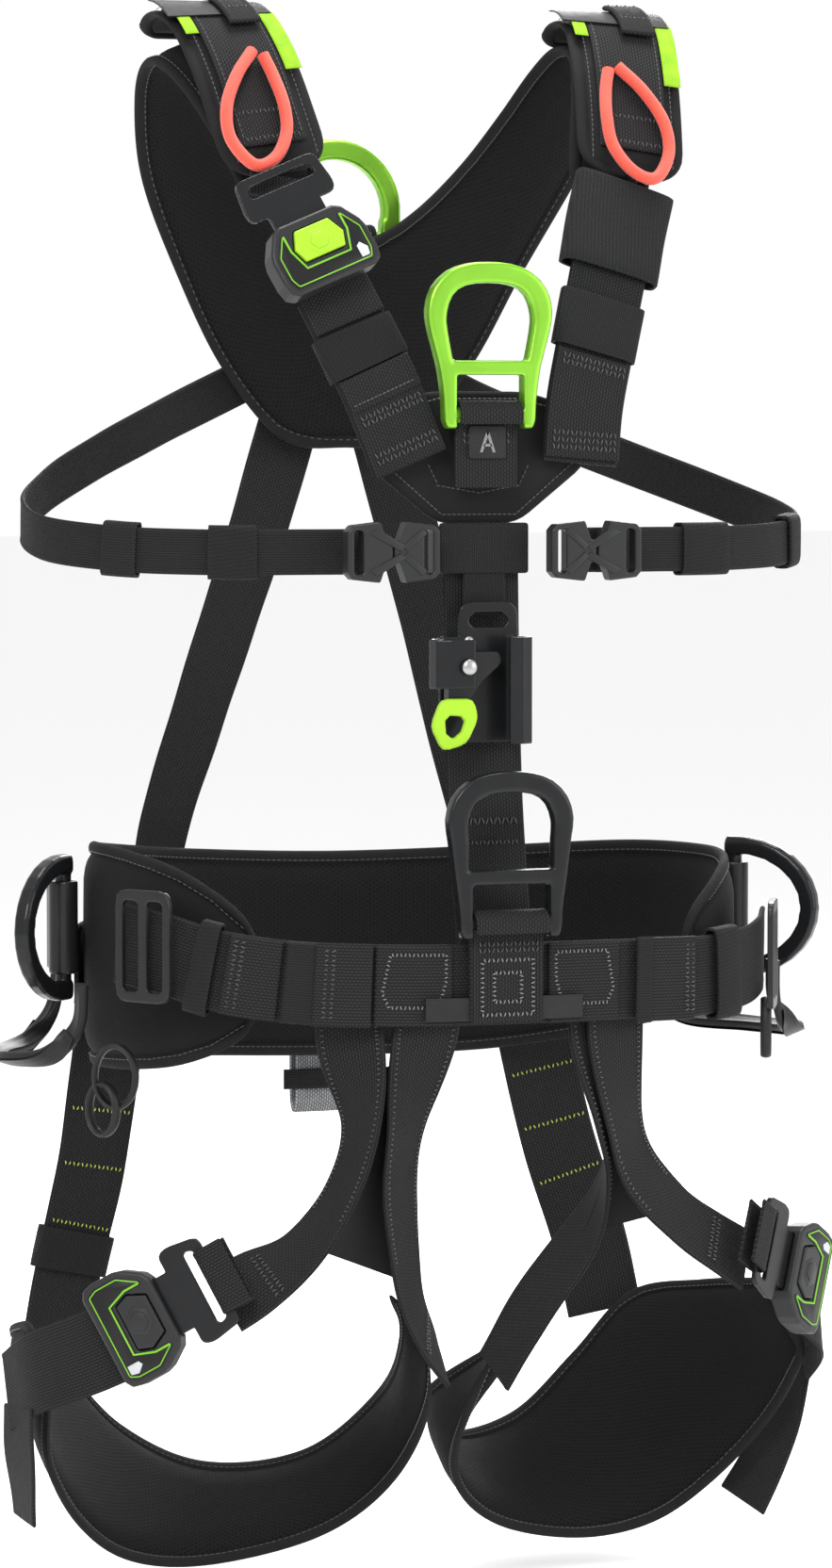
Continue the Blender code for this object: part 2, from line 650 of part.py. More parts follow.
def buckle(name, centre, heading, tilt, roll, button_slot):
    place = frame_at(centre, heading, tilt, roll)
    wide, high, half = HOUSING_WIDE / 2, HOUSING_HIGH / 2, HOUSING_THICK / 2
    outline = [(-wide + 3, -high), (wide - 3, -high), (wide, -high + 6), (wide, high - 15),
               (wide - 10, high), (-wide + 10, high), (-wide, high - 15), (-wide, -high + 6)]
    housing = plate(name + "_housing", rounded(outline, 3, 1), [], -half, half, place,
                    "grey_plastic", centre, 1.2)
    mouth_half = TONGUE_THICK / 2 + BUCKLE_GAP
    mouth = box("mouth", (-BLADE_WIDE / 2 - BUCKLE_GAP, high - BLADE_DEEP - BUCKLE_GAP, -mouth_half),
                (BLADE_WIDE / 2 + BUCKLE_GAP, high + 5, mouth_half), place)
    combine(housing, mouth, "DIFFERENCE")
    press = [(-13, -4), (13, -4), (16, 4), (11, 14), (-11, 14), (-16, 4)]
    well = [(u * 1.04, 5 + (v - 5) * 1.06) for u, v in press]
    floor = mouth_half + 1.2
    combine(housing, plate("well", well, [], floor, half + 5, place, "steel"), "DIFFERENCE")
    at = tuple(to_world(place, 0, 5, half))
    plate(name + "_button", press, [], floor + BUTTON_STROKE + 0.3, half + 1.2, place,
          button_slot, at, 0.6)
    frame = rounded([(-27, high + 8), (27, high + 8), (29, high + 14), (26, high + 33),
                     (-26, high + 33), (-29, high + 14)], 4, 2)
    blade = BLADE_WIDE / 2
    tongue = plate(name + "_tongue", frame, [
        rounded([(-22, high + 21), (22, high + 21), (20, high + 28), (-20, high + 28)], 2, 1),
    ], -TONGUE_THICK / 2, TONGUE_THICK / 2, place, "black_aluminium")
    stem = [(-blade, high - BLADE_DEEP), (blade, high - BLADE_DEEP), (blade, high + 12),
            (-blade, high + 12)]
    notch = rounded([(-6, high - 9), (6, high - 9), (6, high - 2), (-6, high - 2)], 1, 1)
    combine(tongue, plate("stem", stem, [notch], -TONGUE_THICK / 2, TONGUE_THICK / 2, place, "steel"),
            "UNION")


def leg_buckle_place(side):
    if side < 0:
        return ((-LEG_X - 80, -110, -178), -35.0, 4.0, -60.0)
    return ((LEG_X + 75, -107, -172), 38.0, 4.0, 60.0)


# --- chest clips ------------------------------------------------------------

def chest_clip(side):
    name = "left" if side < 0 else "right"
    x = side * 60.0
    half = CLIP_THICK / 2
    centre = (x, -127.0, 242.0)
    right, up, out, at = frame_at(centre, 0)
    place = (right * side, up, out, at)
    high = CLIP_HIGH / 2
    body = rounded([(-CLIP_LONG, -high + 3), (0, -high), (0, high), (-CLIP_LONG, high - 3)], 3, 1)
    waist_cut = rounded([(-9, -high - 4), (6, -high - 4), (6, -6), (-3, -5)], 2, 1)
    slot = rounded([(-CLIP_LONG + 4, -12), (-CLIP_LONG + 9, -12), (-CLIP_LONG + 9, 12),
                    (-CLIP_LONG + 4, 12)], 1, 1)
    socket = plate("chest_clip_socket_" + name, body, [slot], -half, half, place, "grey_plastic",
                   centre, 0.8)
    flip = [(u, -v) for u, v in waist_cut]
    for cutter in (waist_cut, flip):
        combine(socket, plate("cut", cutter, [], -half - 3, half + 3, place, "steel"), "DIFFERENCE")
    cavity = box("cavity", (-PRONG_DEEP - 0.6, -4.2, -2.4), (4, 4.2, 2.4), place)
    combine(socket, cavity, "DIFFERENCE")
    plug = rounded([(0.6, -high), (CLIP_LONG, -high + 3), (CLIP_LONG, high - 3), (0.6, high)], 3, 1)
    slots = [rounded([(CLIP_LONG - 9, -12), (CLIP_LONG - 4, -12), (CLIP_LONG - 4, 12),
                      (CLIP_LONG - 9, 12)], 1, 1)]
    male = plate("chest_clip_plug_" + name, plug, slots, -half, half, place, "grey_plastic",
                 centre, 0.8)
    cut = rounded([(-4, -high - 4), (10, -high - 4), (4, -5), (-4, -5)], 2, 1)
    for cutter in (cut, [(u, -v) for u, v in cut]):
        combine(male, plate("cut", cutter, [], -half - 3, half + 3, place, "steel"), "DIFFERENCE")
    prong = box("prong", (-PRONG_DEEP, -3.6, -1.9), (3, 3.6, 1.9), place)
    combine(male, prong, "UNION")


# --- chest ascender ----------------------------------------------------------

ASCENDER_Y = -119.0
CAM_PIN = (-20.0, ASCENDER_Y - 7, 179.0)
LEVER_PIN = (-27.0, ASCENDER_Y - 13.5, 158.5)


def ribbon_outline(line, thick):
    """A bent sheet seen end on: a line of points given a thickness."""
    line = np.asarray(line, float)
    along = np.gradient(line, axis=0)
    along /= np.linalg.norm(along, axis=1)[:, None]
    off = np.stack([-along[:, 1], along[:, 0]], 1) * thick / 2
    return [tuple(p) for p in np.vstack([line + off, (line - off)[::-1]])]


def ascender():
    level = (np.array([1.0, 0, 0]), np.array([0, 1.0, 0]), np.array([0, 0, 1.0]), np.zeros(3))
    back = ASCENDER_Y
    channel = ribbon_outline([(-29, back), (10, back), (17, back - 2.5), (20.5, back - 8),
                              (19.5, back - 14), (14, back - 17.5), (6, back - 17.5)], 2.4)
    frame = plate("ascender_frame", channel, [], 136, 195, level, "black_aluminium")
    wing = ribbon_outline([(-27, back), (-34, back - 2.5), (-37, back - 9), (-36, back - 16),
                           (-29, back - 19.5), (-15, back - 19.5)], 2.4)
    combine(frame, plate("wing", wing, [], 167, 194, level, "steel"), "UNION")
    front = frame_at((0, back, 0), 0)
    eye = rounded([(-18, 190), (18, 190), (17, 214), (-17, 214)], 7)
    slot = rounded([(-12, 200), (12, 200), (11, 208), (-11, 208)], 3, 1)
    combine(frame, plate("eye", eye, [slot], -1.2, 1.2, front, "steel"), "UNION")
    across = frame_at(CAM_PIN, 0)
    pin_hole = plate("hole", circle(0, 0, 3.3, 18), [], -14, 20, across, "steel")
    combine(frame, pin_hole, "DIFFERENCE")
    plate("ascender_pin", circle(0, 0, 3.0, 18), [], -9.6, 16.0, across, "steel")
    cam = rounded([(-8, -20), (2, -22), (12, -8), (24, 2), (22, 8), (6, 8), (-7, 7)], 3, 2)
    plate("ascender_cam", cam, [circle(0, 0, 3.06, 18)], -3.6, 5.0, across, "steel", CAM_PIN)
    lever_at = frame_at(LEVER_PIN, 0)
    lever = rounded([(-7, 3), (12, 3), (15, -8), (8, -22), (-6, -26), (-13, -12)], 4, 2)
    hole = rounded([(-5, -6), (8, -7), (4, -18), (-4, -19)], 3, 1)
    plate("ascender_lever", lever, [hole], -0.2, 4.0, lever_at, "lime_plastic", LEVER_PIN, 0.8)


def build():
    clear_scene()
    yoke()
    covers()
    shoulder_webs()
    sternal()
    body_webs()
    front_rings()
    dorsal_ring()
    waist()
    belt_loops()
    ascender()
    buckle("shoulder_buckle", *SHOULDER_BUCKLE, "lime_plastic")
    for side in (-1, 1):
        name = "left" if side < 0 else "right"
        side_ring(side)
        waist_buckle(side)
        chest_clip(side)
        leg(side)
        buckle("leg_buckle_" + name, *leg_buckle_place(side), "grey_plastic")


build()
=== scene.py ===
"""The looks of a full body rope access harness, held as worn: yoke, belt and leg loops.

Routes are in millimetres. +X is the viewer's right, the wearer faces -Y and +Z is up.
A strap's row is x, y, z, heading and tilt: where its middle runs and how its outer
face looks. Heading 0 looks to the front and 90 to +X. Tilt 90 looks up.
"""

import bpy
import numpy as np
from mathutils import Matrix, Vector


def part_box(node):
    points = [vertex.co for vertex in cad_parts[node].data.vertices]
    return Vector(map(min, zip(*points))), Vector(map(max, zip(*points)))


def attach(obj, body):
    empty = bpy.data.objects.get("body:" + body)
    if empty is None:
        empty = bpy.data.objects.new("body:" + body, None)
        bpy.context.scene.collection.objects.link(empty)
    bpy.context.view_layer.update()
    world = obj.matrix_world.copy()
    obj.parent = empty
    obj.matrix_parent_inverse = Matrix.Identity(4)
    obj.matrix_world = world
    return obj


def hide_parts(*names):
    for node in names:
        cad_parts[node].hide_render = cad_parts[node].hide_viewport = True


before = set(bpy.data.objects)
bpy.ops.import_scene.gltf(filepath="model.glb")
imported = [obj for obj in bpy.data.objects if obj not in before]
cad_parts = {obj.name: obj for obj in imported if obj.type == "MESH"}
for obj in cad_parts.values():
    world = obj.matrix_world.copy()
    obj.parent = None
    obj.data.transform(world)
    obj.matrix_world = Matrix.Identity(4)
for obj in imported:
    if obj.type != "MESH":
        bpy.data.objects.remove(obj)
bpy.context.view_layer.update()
bpy.ops.object.select_all(action="DESELECT")
MM = 0.001

# --- yoke padding ------------------------------------------------------------
# A foam pad from shoulder to shoulder, cut from spacer mesh on the wearer's side and
# plain fabric outside, with a folded tape sewn round its edge.


def unit(rows):
    return rows / np.linalg.norm(rows, axis=-1, keepdims=True)


def facing(heading, tilt):
    h, t = np.radians(heading), np.radians(tilt)
    return np.stack([np.sin(h) * np.cos(t), -np.cos(h) * np.cos(t), np.sin(t)], -1)


def through(rows, steps=10):
    """A smooth line through the rows."""
    rows = np.asarray(rows, float)
    full = np.vstack([2 * rows[0] - rows[1], rows, 2 * rows[-1] - rows[-2]])
    line = []
    for a, b, c, d in zip(full, full[1:], full[2:], full[3:]):
        for t in np.arange(steps) / steps:
            line.append(0.5 * (2 * b + (c - a) * t + (2 * a - 5 * b + 4 * c - d) * t ** 2
                               + (3 * b - a - 3 * c + d) * t ** 3))
    return np.array(line + [full[-2]])


class Route:
    """The middle line of a band or a pad, with its ways along, across and out."""

    def __init__(self, middle, across, half):
        step = np.linalg.norm(np.diff(middle, axis=0), axis=1)
        run = np.concatenate([[0], np.cumsum(step)])
        self.length = run[-1]
        self.run = np.linspace(0, run[-1], max(4, round(run[-1] / 2.5)) + 1)
        self.middle = self.spread(middle, run)
        self.half = np.interp(self.run, run, half)
        self.along = unit(np.gradient(self.middle, axis=0))
        self.across = unit(self.spread(across, run))
        self.out = unit(np.cross(self.along, self.across))

    def spread(self, rows, run):
        return np.stack([np.interp(self.run, run, column) for column in rows.T], -1)

    def pick(self, rows, along):
        beyond = (along - np.clip(along, 0, self.length))[..., None]
        found = np.stack([np.interp(along, self.run, column) for column in rows.T], -1)
        if rows is self.middle:
            ends = np.where(beyond > 0, self.along[-1], self.along[0])
            found = found + ends * beyond
        return found

    def at(self, along, across=0.0, out=0.0):
        """Points so many millimetres along the route, across it and out of it."""
        along, across, out = (np.asarray(a, float) for a in np.broadcast_arrays(along, across, out))
        return (self.pick(self.middle, along) + self.pick(self.across, along) * across[..., None]
                + self.pick(self.out, along) * out[..., None])


def strap_route(rows, wide):
    line = through(rows)
    along = unit(np.gradient(line[:, :3], axis=0))
    across = unit(np.cross(facing(line[:, 3], line[:, 4]), along))
    return Route(line[:, :3], across, np.full(len(line), wide / 2))


def pad_route(edges):
    """A row is x, y, z of one edge and then of the other."""
    line = through(edges)
    low, high = line[:, :3], line[:, 3:]
    return Route((low + high) / 2, high - low, np.linalg.norm(high - low, axis=1) / 2)


def skin(name, rings, weave, edge, inner=None, joined=False):
    """A closed skin through rings of points. It keeps its cloth coordinates, how far each
    point is from the edge, and whether it is on the wearer's side."""
    count, around = rings.shape[:2]
    ring = np.arange(around)
    faces = []
    for i in range(count if joined else count - 1):
        a, b = i * around, (i + 1) % count * around
        faces += [(a + j, a + (j + 1) % around, b + (j + 1) % around, b + j) for j in range(around)]
    if not joined:
        faces += [tuple(ring[::-1]), tuple((count - 1) * around + ring)]
    mesh = bpy.data.meshes.new(name)
    mesh.from_pydata((rings.reshape(-1, 3) * MM).tolist(), [], [[int(v) for v in f] for f in faces])
    corner = np.empty(len(mesh.loops), np.int32)
    mesh.loops.foreach_get("vertex_index", corner)
    cloth = mesh.uv_layers.new(name="weave")
    cloth.data.foreach_set("uv", (weave.reshape(-1, 2)[corner] * MM).astype(np.float32).ravel())
    for key, values in (("edge", edge * MM), ("inner", inner)):
        if values is not None:
            mesh.attributes.new(key, "FLOAT", "POINT").data.foreach_set(
                "value", values.astype(np.float32).ravel())
    obj = bpy.data.objects.new(name, mesh)
    bpy.context.scene.collection.objects.link(obj)
    return obj


def settle(obj, angle=50):
    """Shades an object smoothly, except over sharp corners."""
    bpy.ops.object.select_all(action="DESELECT")
    obj.select_set(True)
    bpy.context.view_layer.objects.active = obj
    bpy.ops.object.shade_smooth_by_angle(angle=np.radians(angle))
    obj.select_set(False)
    return obj


def fit(obj, body, finish, slot, *nodes):
    """Gives a piece its finish and the body that carries it, and hides the solids it stands for."""
    obj.data.materials.clear()
    obj.data.materials.append(finish)
    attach(obj, body)
    if nodes:
        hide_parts(*nodes)
    return settle(obj)


RIM = np.array([0, 0.7, 2.0, 3.6, 5.2, 6.6, 7.4, 8.4, 11, 15, 21])
RIM_HALF = np.array([0.3, 1.7, 2.6, 2.9, 2.7, 2.0, 1.4, 2.1, 3.7, 5.0, 5.8])


def padding(name, route, thick=12.0, corner=16.0, inner_sign=-1, dents=()):
    """A crowned pad with a bound edge. inner_sign is the side that the wearer feels."""
    middle = np.arange(24, route.length - 24, 4.0)
    along = np.concatenate([RIM, middle, route.length - RIM[::-1]])
    end = np.minimum(along, route.length - along)
    half = np.interp(along, route.run, route.half)
    half = half - np.where(end < corner, corner - np.sqrt(np.maximum(corner ** 2 - (corner - end) ** 2, 0)), 0)
    across, height, edges = [], [], []
    for h, e in zip(half, end):
        scale = min(1.0, h / 24.0)
        reach = np.concatenate([RIM * scale, [scale * 21 + (h - scale * 21) * 0.35, h]])
        near = np.minimum(reach, max(e, 0.0))
        full = np.interp(near, RIM, RIM_HALF)
        crown = 0.5 * np.sin(np.pi / 2 * np.clip((reach - 15) / max(h - 15, 1), 0, 1))
        tall = (full + np.where(near > 15, crown, 0)) * thick / 12.6
        top = np.concatenate([h - reach, -(h - reach)[-2::-1]])
        across.append(np.concatenate([top, top[-2:0:-1]]))
        level = np.concatenate([tall, tall[-2::-1]])
        level[0] = level[-1] = 0.0
        height.append(np.concatenate([level, -level[-2:0:-1]]))
        far = np.concatenate([near, near[-2::-1]])
        edges.append(np.concatenate([far, far[-2:0:-1]]))
    across, height, edges = np.array(across), np.array(height), np.array(edges)
    for a, u, reach_a, reach_u, deep in dents:
        away = ((along[:, None] - a) / reach_a) ** 2 + ((across - u) / reach_u) ** 2
        height = height * (1 - deep * np.exp(-away * 2))
    rings = route.at(along[:, None], across, height)
    weave = np.stack([across, np.broadcast_to(along[:, None], across.shape)], -1)
    obj = skin(name, rings, weave, edges, (height * inner_sign > 0).astype(float))
    return obj


class Reading:
    """A socket that can be used in sums."""

    def __init__(self, finish, socket):
        self.finish, self.socket = finish, socket

    def math(self, kind, *others):
        return self.finish.node("ShaderNodeMath", {"operation": kind}, [self, *others])

    def __add__(self, other):
        return self.math("ADD", other)

    def __mul__(self, other):
        return self.math("MULTIPLY", other)

    def __sub__(self, other):
        return self.math("SUBTRACT", other)

    def __truediv__(self, other):
        return self.math("DIVIDE", other)

    def __rsub__(self, other):
        return self.finish.node("ShaderNodeMath", {"operation": "SUBTRACT"}, [other, self])

    __radd__ = __add__
    __rmul__ = __mul__


class Finish:
    """A material in the making."""

    def __init__(self, name, color, rough, metal=0.0, **constants):
        self.made = bpy.data.materials.new(name)
        self.made.use_nodes = True
        self.tree = self.made.node_tree
        self.shader = self.tree.nodes["Principled BSDF"]
        self.shader.inputs["Base Color"].default_value = (*color, 1)
        self.shader.inputs["Roughness"].default_value = rough
        self.shader.inputs["Metallic"].default_value = metal
        for key, value in constants.items():
            self.shader.inputs[key.replace("_", " ")].default_value = value

    def node(self, kind, settings=None, inputs=(), out=0):
        made = self.tree.nodes.new(kind)
        for key, value in (settings or {}).items():
            setattr(made, key, value)
        pairs = inputs.items() if isinstance(inputs, dict) else enumerate(inputs)
        for key, value in pairs:
            if isinstance(value, Reading):
                self.tree.links.new(value.socket, made.inputs[key])
            else:
                made.inputs[key].default_value = value
        return Reading(self, made.outputs[out])

    def cloth(self):
        """Millimetres across and along the cloth."""
        spot = self.node("ShaderNodeUVMap", {"uv_map": "weave"})
        x = self.node("ShaderNodeSeparateXYZ", None, [spot], 0) * 1000.0
        y = self.node("ShaderNodeSeparateXYZ", None, [spot], 1) * 1000.0
        return x, y

    def stored(self, key):
        return self.node("ShaderNodeAttribute", {"attribute_name": key}, (), "Fac")

    def spots(self, scale, detail=2.0):
        place = self.node("ShaderNodeTexCoord", None, (), "Object")
        return self.node("ShaderNodeTexNoise", None, {"Vector": place, "Scale": scale, "Detail": detail},
                         "Fac")

    def step(self, value, low, high):
        """0 below low, 1 above high and smooth between them."""
        return self.node("ShaderNodeMapRange", {"interpolation_type": "SMOOTHSTEP"},
                         {"Value": value, "From Min": low, "From Max": high})

    def tint(self, amount, low, high):
        return self.node("ShaderNodeMix", {"data_type": "RGBA"},
                         {0: amount, 6: low if isinstance(low, Reading) else (*low, 1),
                          7: high if isinstance(high, Reading) else (*high, 1)}, 2)

    def feed(self, key, value):
        self.tree.links.new(value.socket, self.shader.inputs[key])

    def relief(self, height, deep, strength=1.0):
        self.feed("Normal", self.node("ShaderNodeBump", None, {
            "Height": height, "Distance": deep * MM, "Strength": strength}))


def plain_weave(finish, cord=1.7, pick=2.3, lean=0.0):
    """Height of a weave whose cords bulge in turn between the threads that cross them."""
    x, y = finish.cloth()
    column = (x + y * lean) / cord
    bulge = (column * np.pi).math("SINE").math("ABSOLUTE")
    turn = column.math("FLOOR") * np.pi
    beat = (y * (2 * np.pi / pick) + turn).math("COSINE") * 0.5 + 0.5
    return bulge * (beat * 0.6 + 0.4)


def webbing(name, low, high, cord=1.7, pick=2.3, lean=0.0, rough=0.72):
    """Polyester webbing: a painted highlight on top of its cords, painted shade between them, and a little worn."""
    finish = Finish(name, low, rough, Specular_IOR_Level=0.25)
    rise = plain_weave(finish, cord, pick, lean)
    wear = finish.spots(260.0, 3.0)
    border = finish.step(finish.stored("edge"), 0.0008, 0.0026)
    # The cords' height paints a highlight on their tops and shade between them; the wear spots add random tone.
    wear_and_painted_cord_shade = finish.step(rise * 0.85 + wear * 0.45, 0.25, 1.1)
    finish.feed("Base Color", finish.tint(wear_and_painted_cord_shade, low, high))
    finish.feed("Roughness", rough + wear * 0.2 - rise * 0.12)
    finish.relief(rise * (border * 0.5 + 0.5) + wear * 0.15, 0.45)
    return finish.made


def spacer_mesh():
    """Perforated spacer mesh on the wearer's side with its holes painted near black as shade, plain fabric outside,
    tape round the edge.
    """
    finish = Finish("spacer_mesh", (0.005, 0.005, 0.0055), 0.85, Specular_IOR_Level=0.2)
    x, y = finish.cloth()
    row = y / 2.25
    shift = row.math("FLOOR").math("MODULO", 2.0).math("ABSOLUTE") * 0.5
    across = (x / 2.7 + shift).math("FRACT") - 0.5
    along = row.math("FRACT") - 0.5
    away = (across * across + along * along * 0.75).math("SQRT")
    solid = finish.step(away, 0.17, 0.30)
    inner = finish.stored("inner")
    tape = 1.0 - finish.step(finish.stored("edge"), 0.0069, 0.0074)
    mask = inner * (1.0 - tape)
    pierced = 1.0 - (1.0 - solid) * mask
    knit = plain_weave(finish, 0.9, 1.1)
    wear = finish.spots(180.0, 3.0)
    # The knit's height paints a highlight on its tops and shade in its gaps; the wear spots add random tone.
    fabric = finish.tint(finish.step(knit * 0.6 + wear * 0.6, 0.2, 1.0), (0.003, 0.003, 0.0033),
                         (0.0075, 0.0075, 0.008))
    taped = finish.tint(tape, fabric, (0.008, 0.008, 0.0085))
    # Painted shade: the holes are coloured near black; the tape keeps its own real colour.
    finish.feed("Base Color", finish.tint(pierced, (0.001, 0.001, 0.001), taped))
    finish.feed("Roughness", 0.75 + wear * 0.2)
    finish.relief(pierced * 0.8 + knit * 0.2, 0.6)
    return finish.made


def soft_fabric(name, low, high, rough=0.8):
    """A close plain fabric with a faint nap, painted lighter on its weave's tops as highlight and darker between as
    shade.
    """
    finish = Finish(name, low, rough, Specular_IOR_Level=0.25)
    knit = plain_weave(finish, 0.8, 1.0)
    wear = finish.spots(120.0, 4.0)
    # The weave's height paints a highlight on its tops and shade between them; the wear spots add random tone.
    finish.feed("Base Color", finish.tint(finish.step(knit * 0.5 + wear * 0.7, 0.2, 1.0), low, high))
    finish.feed("Roughness", rough - 0.1 + wear * 0.2)
    finish.relief(knit * 0.6 + wear * 0.4, 0.2)
    return finish.made


def thread(name, color):
    finish = Finish(name, color, 0.55, Sheen_Weight=0.3)
    wear = finish.spots(900.0, 1.0)
    dark = tuple(c * 0.55 for c in color)
    finish.feed("Base Color", finish.tint(wear, dark, color))
    finish.feed("Roughness", 0.45 + wear * 0.25)
    return finish.made


SPACER = spacer_mesh()
BLACK_WEB = webbing("black_webbing", (0.002, 0.002, 0.0022), (0.016, 0.0165, 0.0175))
TIGHT_WEB = webbing("tight_webbing", (0.002, 0.002, 0.0022), (0.0135, 0.014, 0.015), 1.3, 1.8)
ELASTIC = webbing("elastic_band", (0.002, 0.002, 0.0022), (0.012, 0.0125, 0.0135), 1.1, 3.0, 0.6)
GREY_WEB = webbing("grey_webbing_cloth", (0.08, 0.08, 0.084), (0.34, 0.35, 0.36), 1.5, 2.2)
FABRIC = soft_fabric("black_fabric", (0.003, 0.003, 0.0033), (0.0095, 0.0095, 0.0102))
LABEL = soft_fabric("black_label", (0.006, 0.006, 0.0065), (0.014, 0.014, 0.015), 0.5)
LIME_CLOTH = soft_fabric("lime_fabric", (0.15, 0.34, 0.008), (0.32, 0.56, 0.02))
GREY_THREAD = thread("grey_thread", (0.20, 0.20, 0.205))
BLACK_THREAD = thread("black_thread", (0.055, 0.055, 0.058))
LIME_THREAD = thread("lime_thread", (0.50, 0.60, 0.06))


class Seam:
    """Stitches gathered into one piece: each is a short raised thread."""

    def __init__(self, name):
        self.name, self.places, self.ways, self.ups = name, [], [], []

    def line(self, route, corners, out, pitch=3.4, zigzag=0.0):
        """A row of stitches from corner to corner, each given along and across the route."""
        corners = np.asarray(corners, float)
        step = np.linalg.norm(np.diff(corners, axis=0), axis=1)
        run = np.concatenate([[0], np.cumsum(step)])
        spots = np.arange(pitch / 2, run[-1], pitch)
        place = np.stack([np.interp(spots, run, corners[:, i]) for i in (0, 1)], -1)
        ahead = np.stack([np.interp(spots + 0.4, run, corners[:, i]) for i in (0, 1)], -1) - place
        ahead = unit(ahead + 1e-9)
        if zigzag:
            turn = np.stack([-ahead[:, 1], ahead[:, 0]], -1)
            sign = np.where(np.arange(len(spots)) % 2, 1.0, -1.0)[:, None]
            ahead = unit(ahead * 0.35 + turn * sign)
        here = route.at(place[:, 0], place[:, 1], out)
        there = route.at(place[:, 0] + ahead[:, 0], place[:, 1] + ahead[:, 1], out)
        up = route.pick(route.out, place[:, 0]) * (1 if np.mean(out) >= 0 else -1)
        self.places.append(here)
        self.ways.append(unit(there - here) * (zigzag or pitch * 0.78))
        self.ups.append(up)
        return self

    def sew(self, body, finish, thick=0.75):
        spots, ways, ups = (np.vstack(a) for a in (self.places, self.ways, self.ups))
        side = unit(np.cross(ups, ways)) * thick / 2
        up = ups * thick * 0.6
        rings = []
        for share, size, rise in ((-0.5, 0.45, -0.4), (-0.2, 1.0, 0.25), (0.2, 1.0, 0.25), (0.5, 0.45, -0.4)):
            base = spots + ways * share + up * rise
            rings.append(np.stack([base + side * size, base + up * size, base - side * size,
                                   base - up * size], 1))
        points = np.stack(rings, 1).reshape(-1, 3)
        faces = []
        for s in range(len(spots)):
            o = s * 16
            for i in range(3):
                for j in range(4):
                    k = (j + 1) % 4
                    faces.append((o + i * 4 + j, o + i * 4 + k, o + i * 4 + 4 + k, o + i * 4 + 4 + j))
            faces += [(o + 3, o + 2, o + 1, o), (o + 12, o + 13, o + 14, o + 15)]
        mesh = bpy.data.meshes.new(self.name)
        mesh.from_pydata((points * MM).tolist(), [], faces)
        obj = bpy.data.objects.new(self.name, mesh)
        bpy.context.scene.collection.objects.link(obj)
        bpy.context.view_layer.objects.active = obj
        bpy.ops.object.mode_set(mode="EDIT")
        bpy.ops.mesh.select_all(action="SELECT")
        bpy.ops.mesh.normals_make_consistent(inside=False)
        bpy.ops.object.mode_set(mode="OBJECT")
        return fit(obj, body, finish, "webbing")


YOKE_HALF = [
    (22, 104, 424, 40, 108, 303), (45, 101, 440, 78, 105, 345), (68, 93, 465, 108, 99, 400),
    (84, 76, 492, 134, 82, 452), (92, 50, 515, 148, 52, 495), (95, 22, 527, 153, 20, 514),
    (94, -6, 522, 150, -10, 508), (86, -30, 500, 140, -33, 486), (78, -47, 470, 128, -49, 456),
    (73, -58, 442, 118, -60, 430),
]
left_half = [(-a, b, c, -d, e, f) for a, b, c, d, e, f in YOKE_HALF]
yoke_route = pad_route(left_half[::-1] + [(0, 105, 418, 0, 109, 298)] + YOKE_HALF)
fit(padding("yoke_padding", yoke_route), "harness", SPACER, "padding", "yoke_pad")
yoke_seam = Seam("yoke_binding_stitches")
for side in (-1, 1):
    for face in (-1, 1):
        spots = np.arange(8, yoke_route.length - 8, 24.0)
        line = [(a, side * (np.interp(a, yoke_route.run, yoke_route.half) - 5.6)) for a in spots]
        yoke_seam.line(yoke_route, line, face * 2.55, 3.6)
yoke_seam.sew("harness", BLACK_THREAD, 0.6)

# --- shoulder webbing --------------------------------------------------------
# Polyester load webbing, doubled and sewn in short overlaps, that joins the shoulder
# covers to the sternal pad. Elastic keepers hold its spare ends down.


def band(name, route, thick, finish, start=0.0, end=None, wide=None, shift=0.0, lift=0.0,
         body="harness", slot="webbing", nodes=(), wave=0.0, round_ends=False):
    """A woven band with rolled selvedges, on a route or laid over part of it."""
    end = route.length if end is None else end
    steps = max(2, int(round((end - start) / 3.0)))
    along = np.linspace(start, end, steps + 1)
    if round_ends:
        along = np.unique(np.concatenate([along, start + RIM[:5] * 0.5, end - RIM[:5] * 0.5]))
    half = np.interp(along, route.run, route.half) if wide is None else np.full(len(along), wide / 2)
    t = thick / 2
    insets = [0, 0.45, 1.3, 2.6, 4.2]
    tall = [0, 0.72, 1.06, 1.0, 0.88]
    across, height = [], []
    for h, a in zip(half, along):
        near = min(a - start, end - a)
        pinch = min(1.0, 0.35 + near * 0.8) if round_ends else 1.0
        reach = np.array(insets + [h * 0.5, h])
        level = np.array(tall + [0.92, 0.94]) * t * pinch
        top = np.concatenate([h - reach, -(h - reach)[-2::-1]])
        rise = np.concatenate([level, level[-2::-1]])
        across.append(np.concatenate([top, top[-2:0:-1]]))
        height.append(np.concatenate([rise, -rise[-2:0:-1]]))
    across, height = np.array(across), np.array(height)
    sway = wave * np.sin(along[:, None] * 0.11 + across * 0.05)
    place = np.broadcast_to(along[:, None], across.shape)
    rings = route.at(place, across + shift, height + lift + sway)
    edge = half[:, None] - np.abs(across)
    obj = skin(name, rings, np.stack([across, place], -1), edge)
    return fit(obj, body, finish, slot, *nodes)


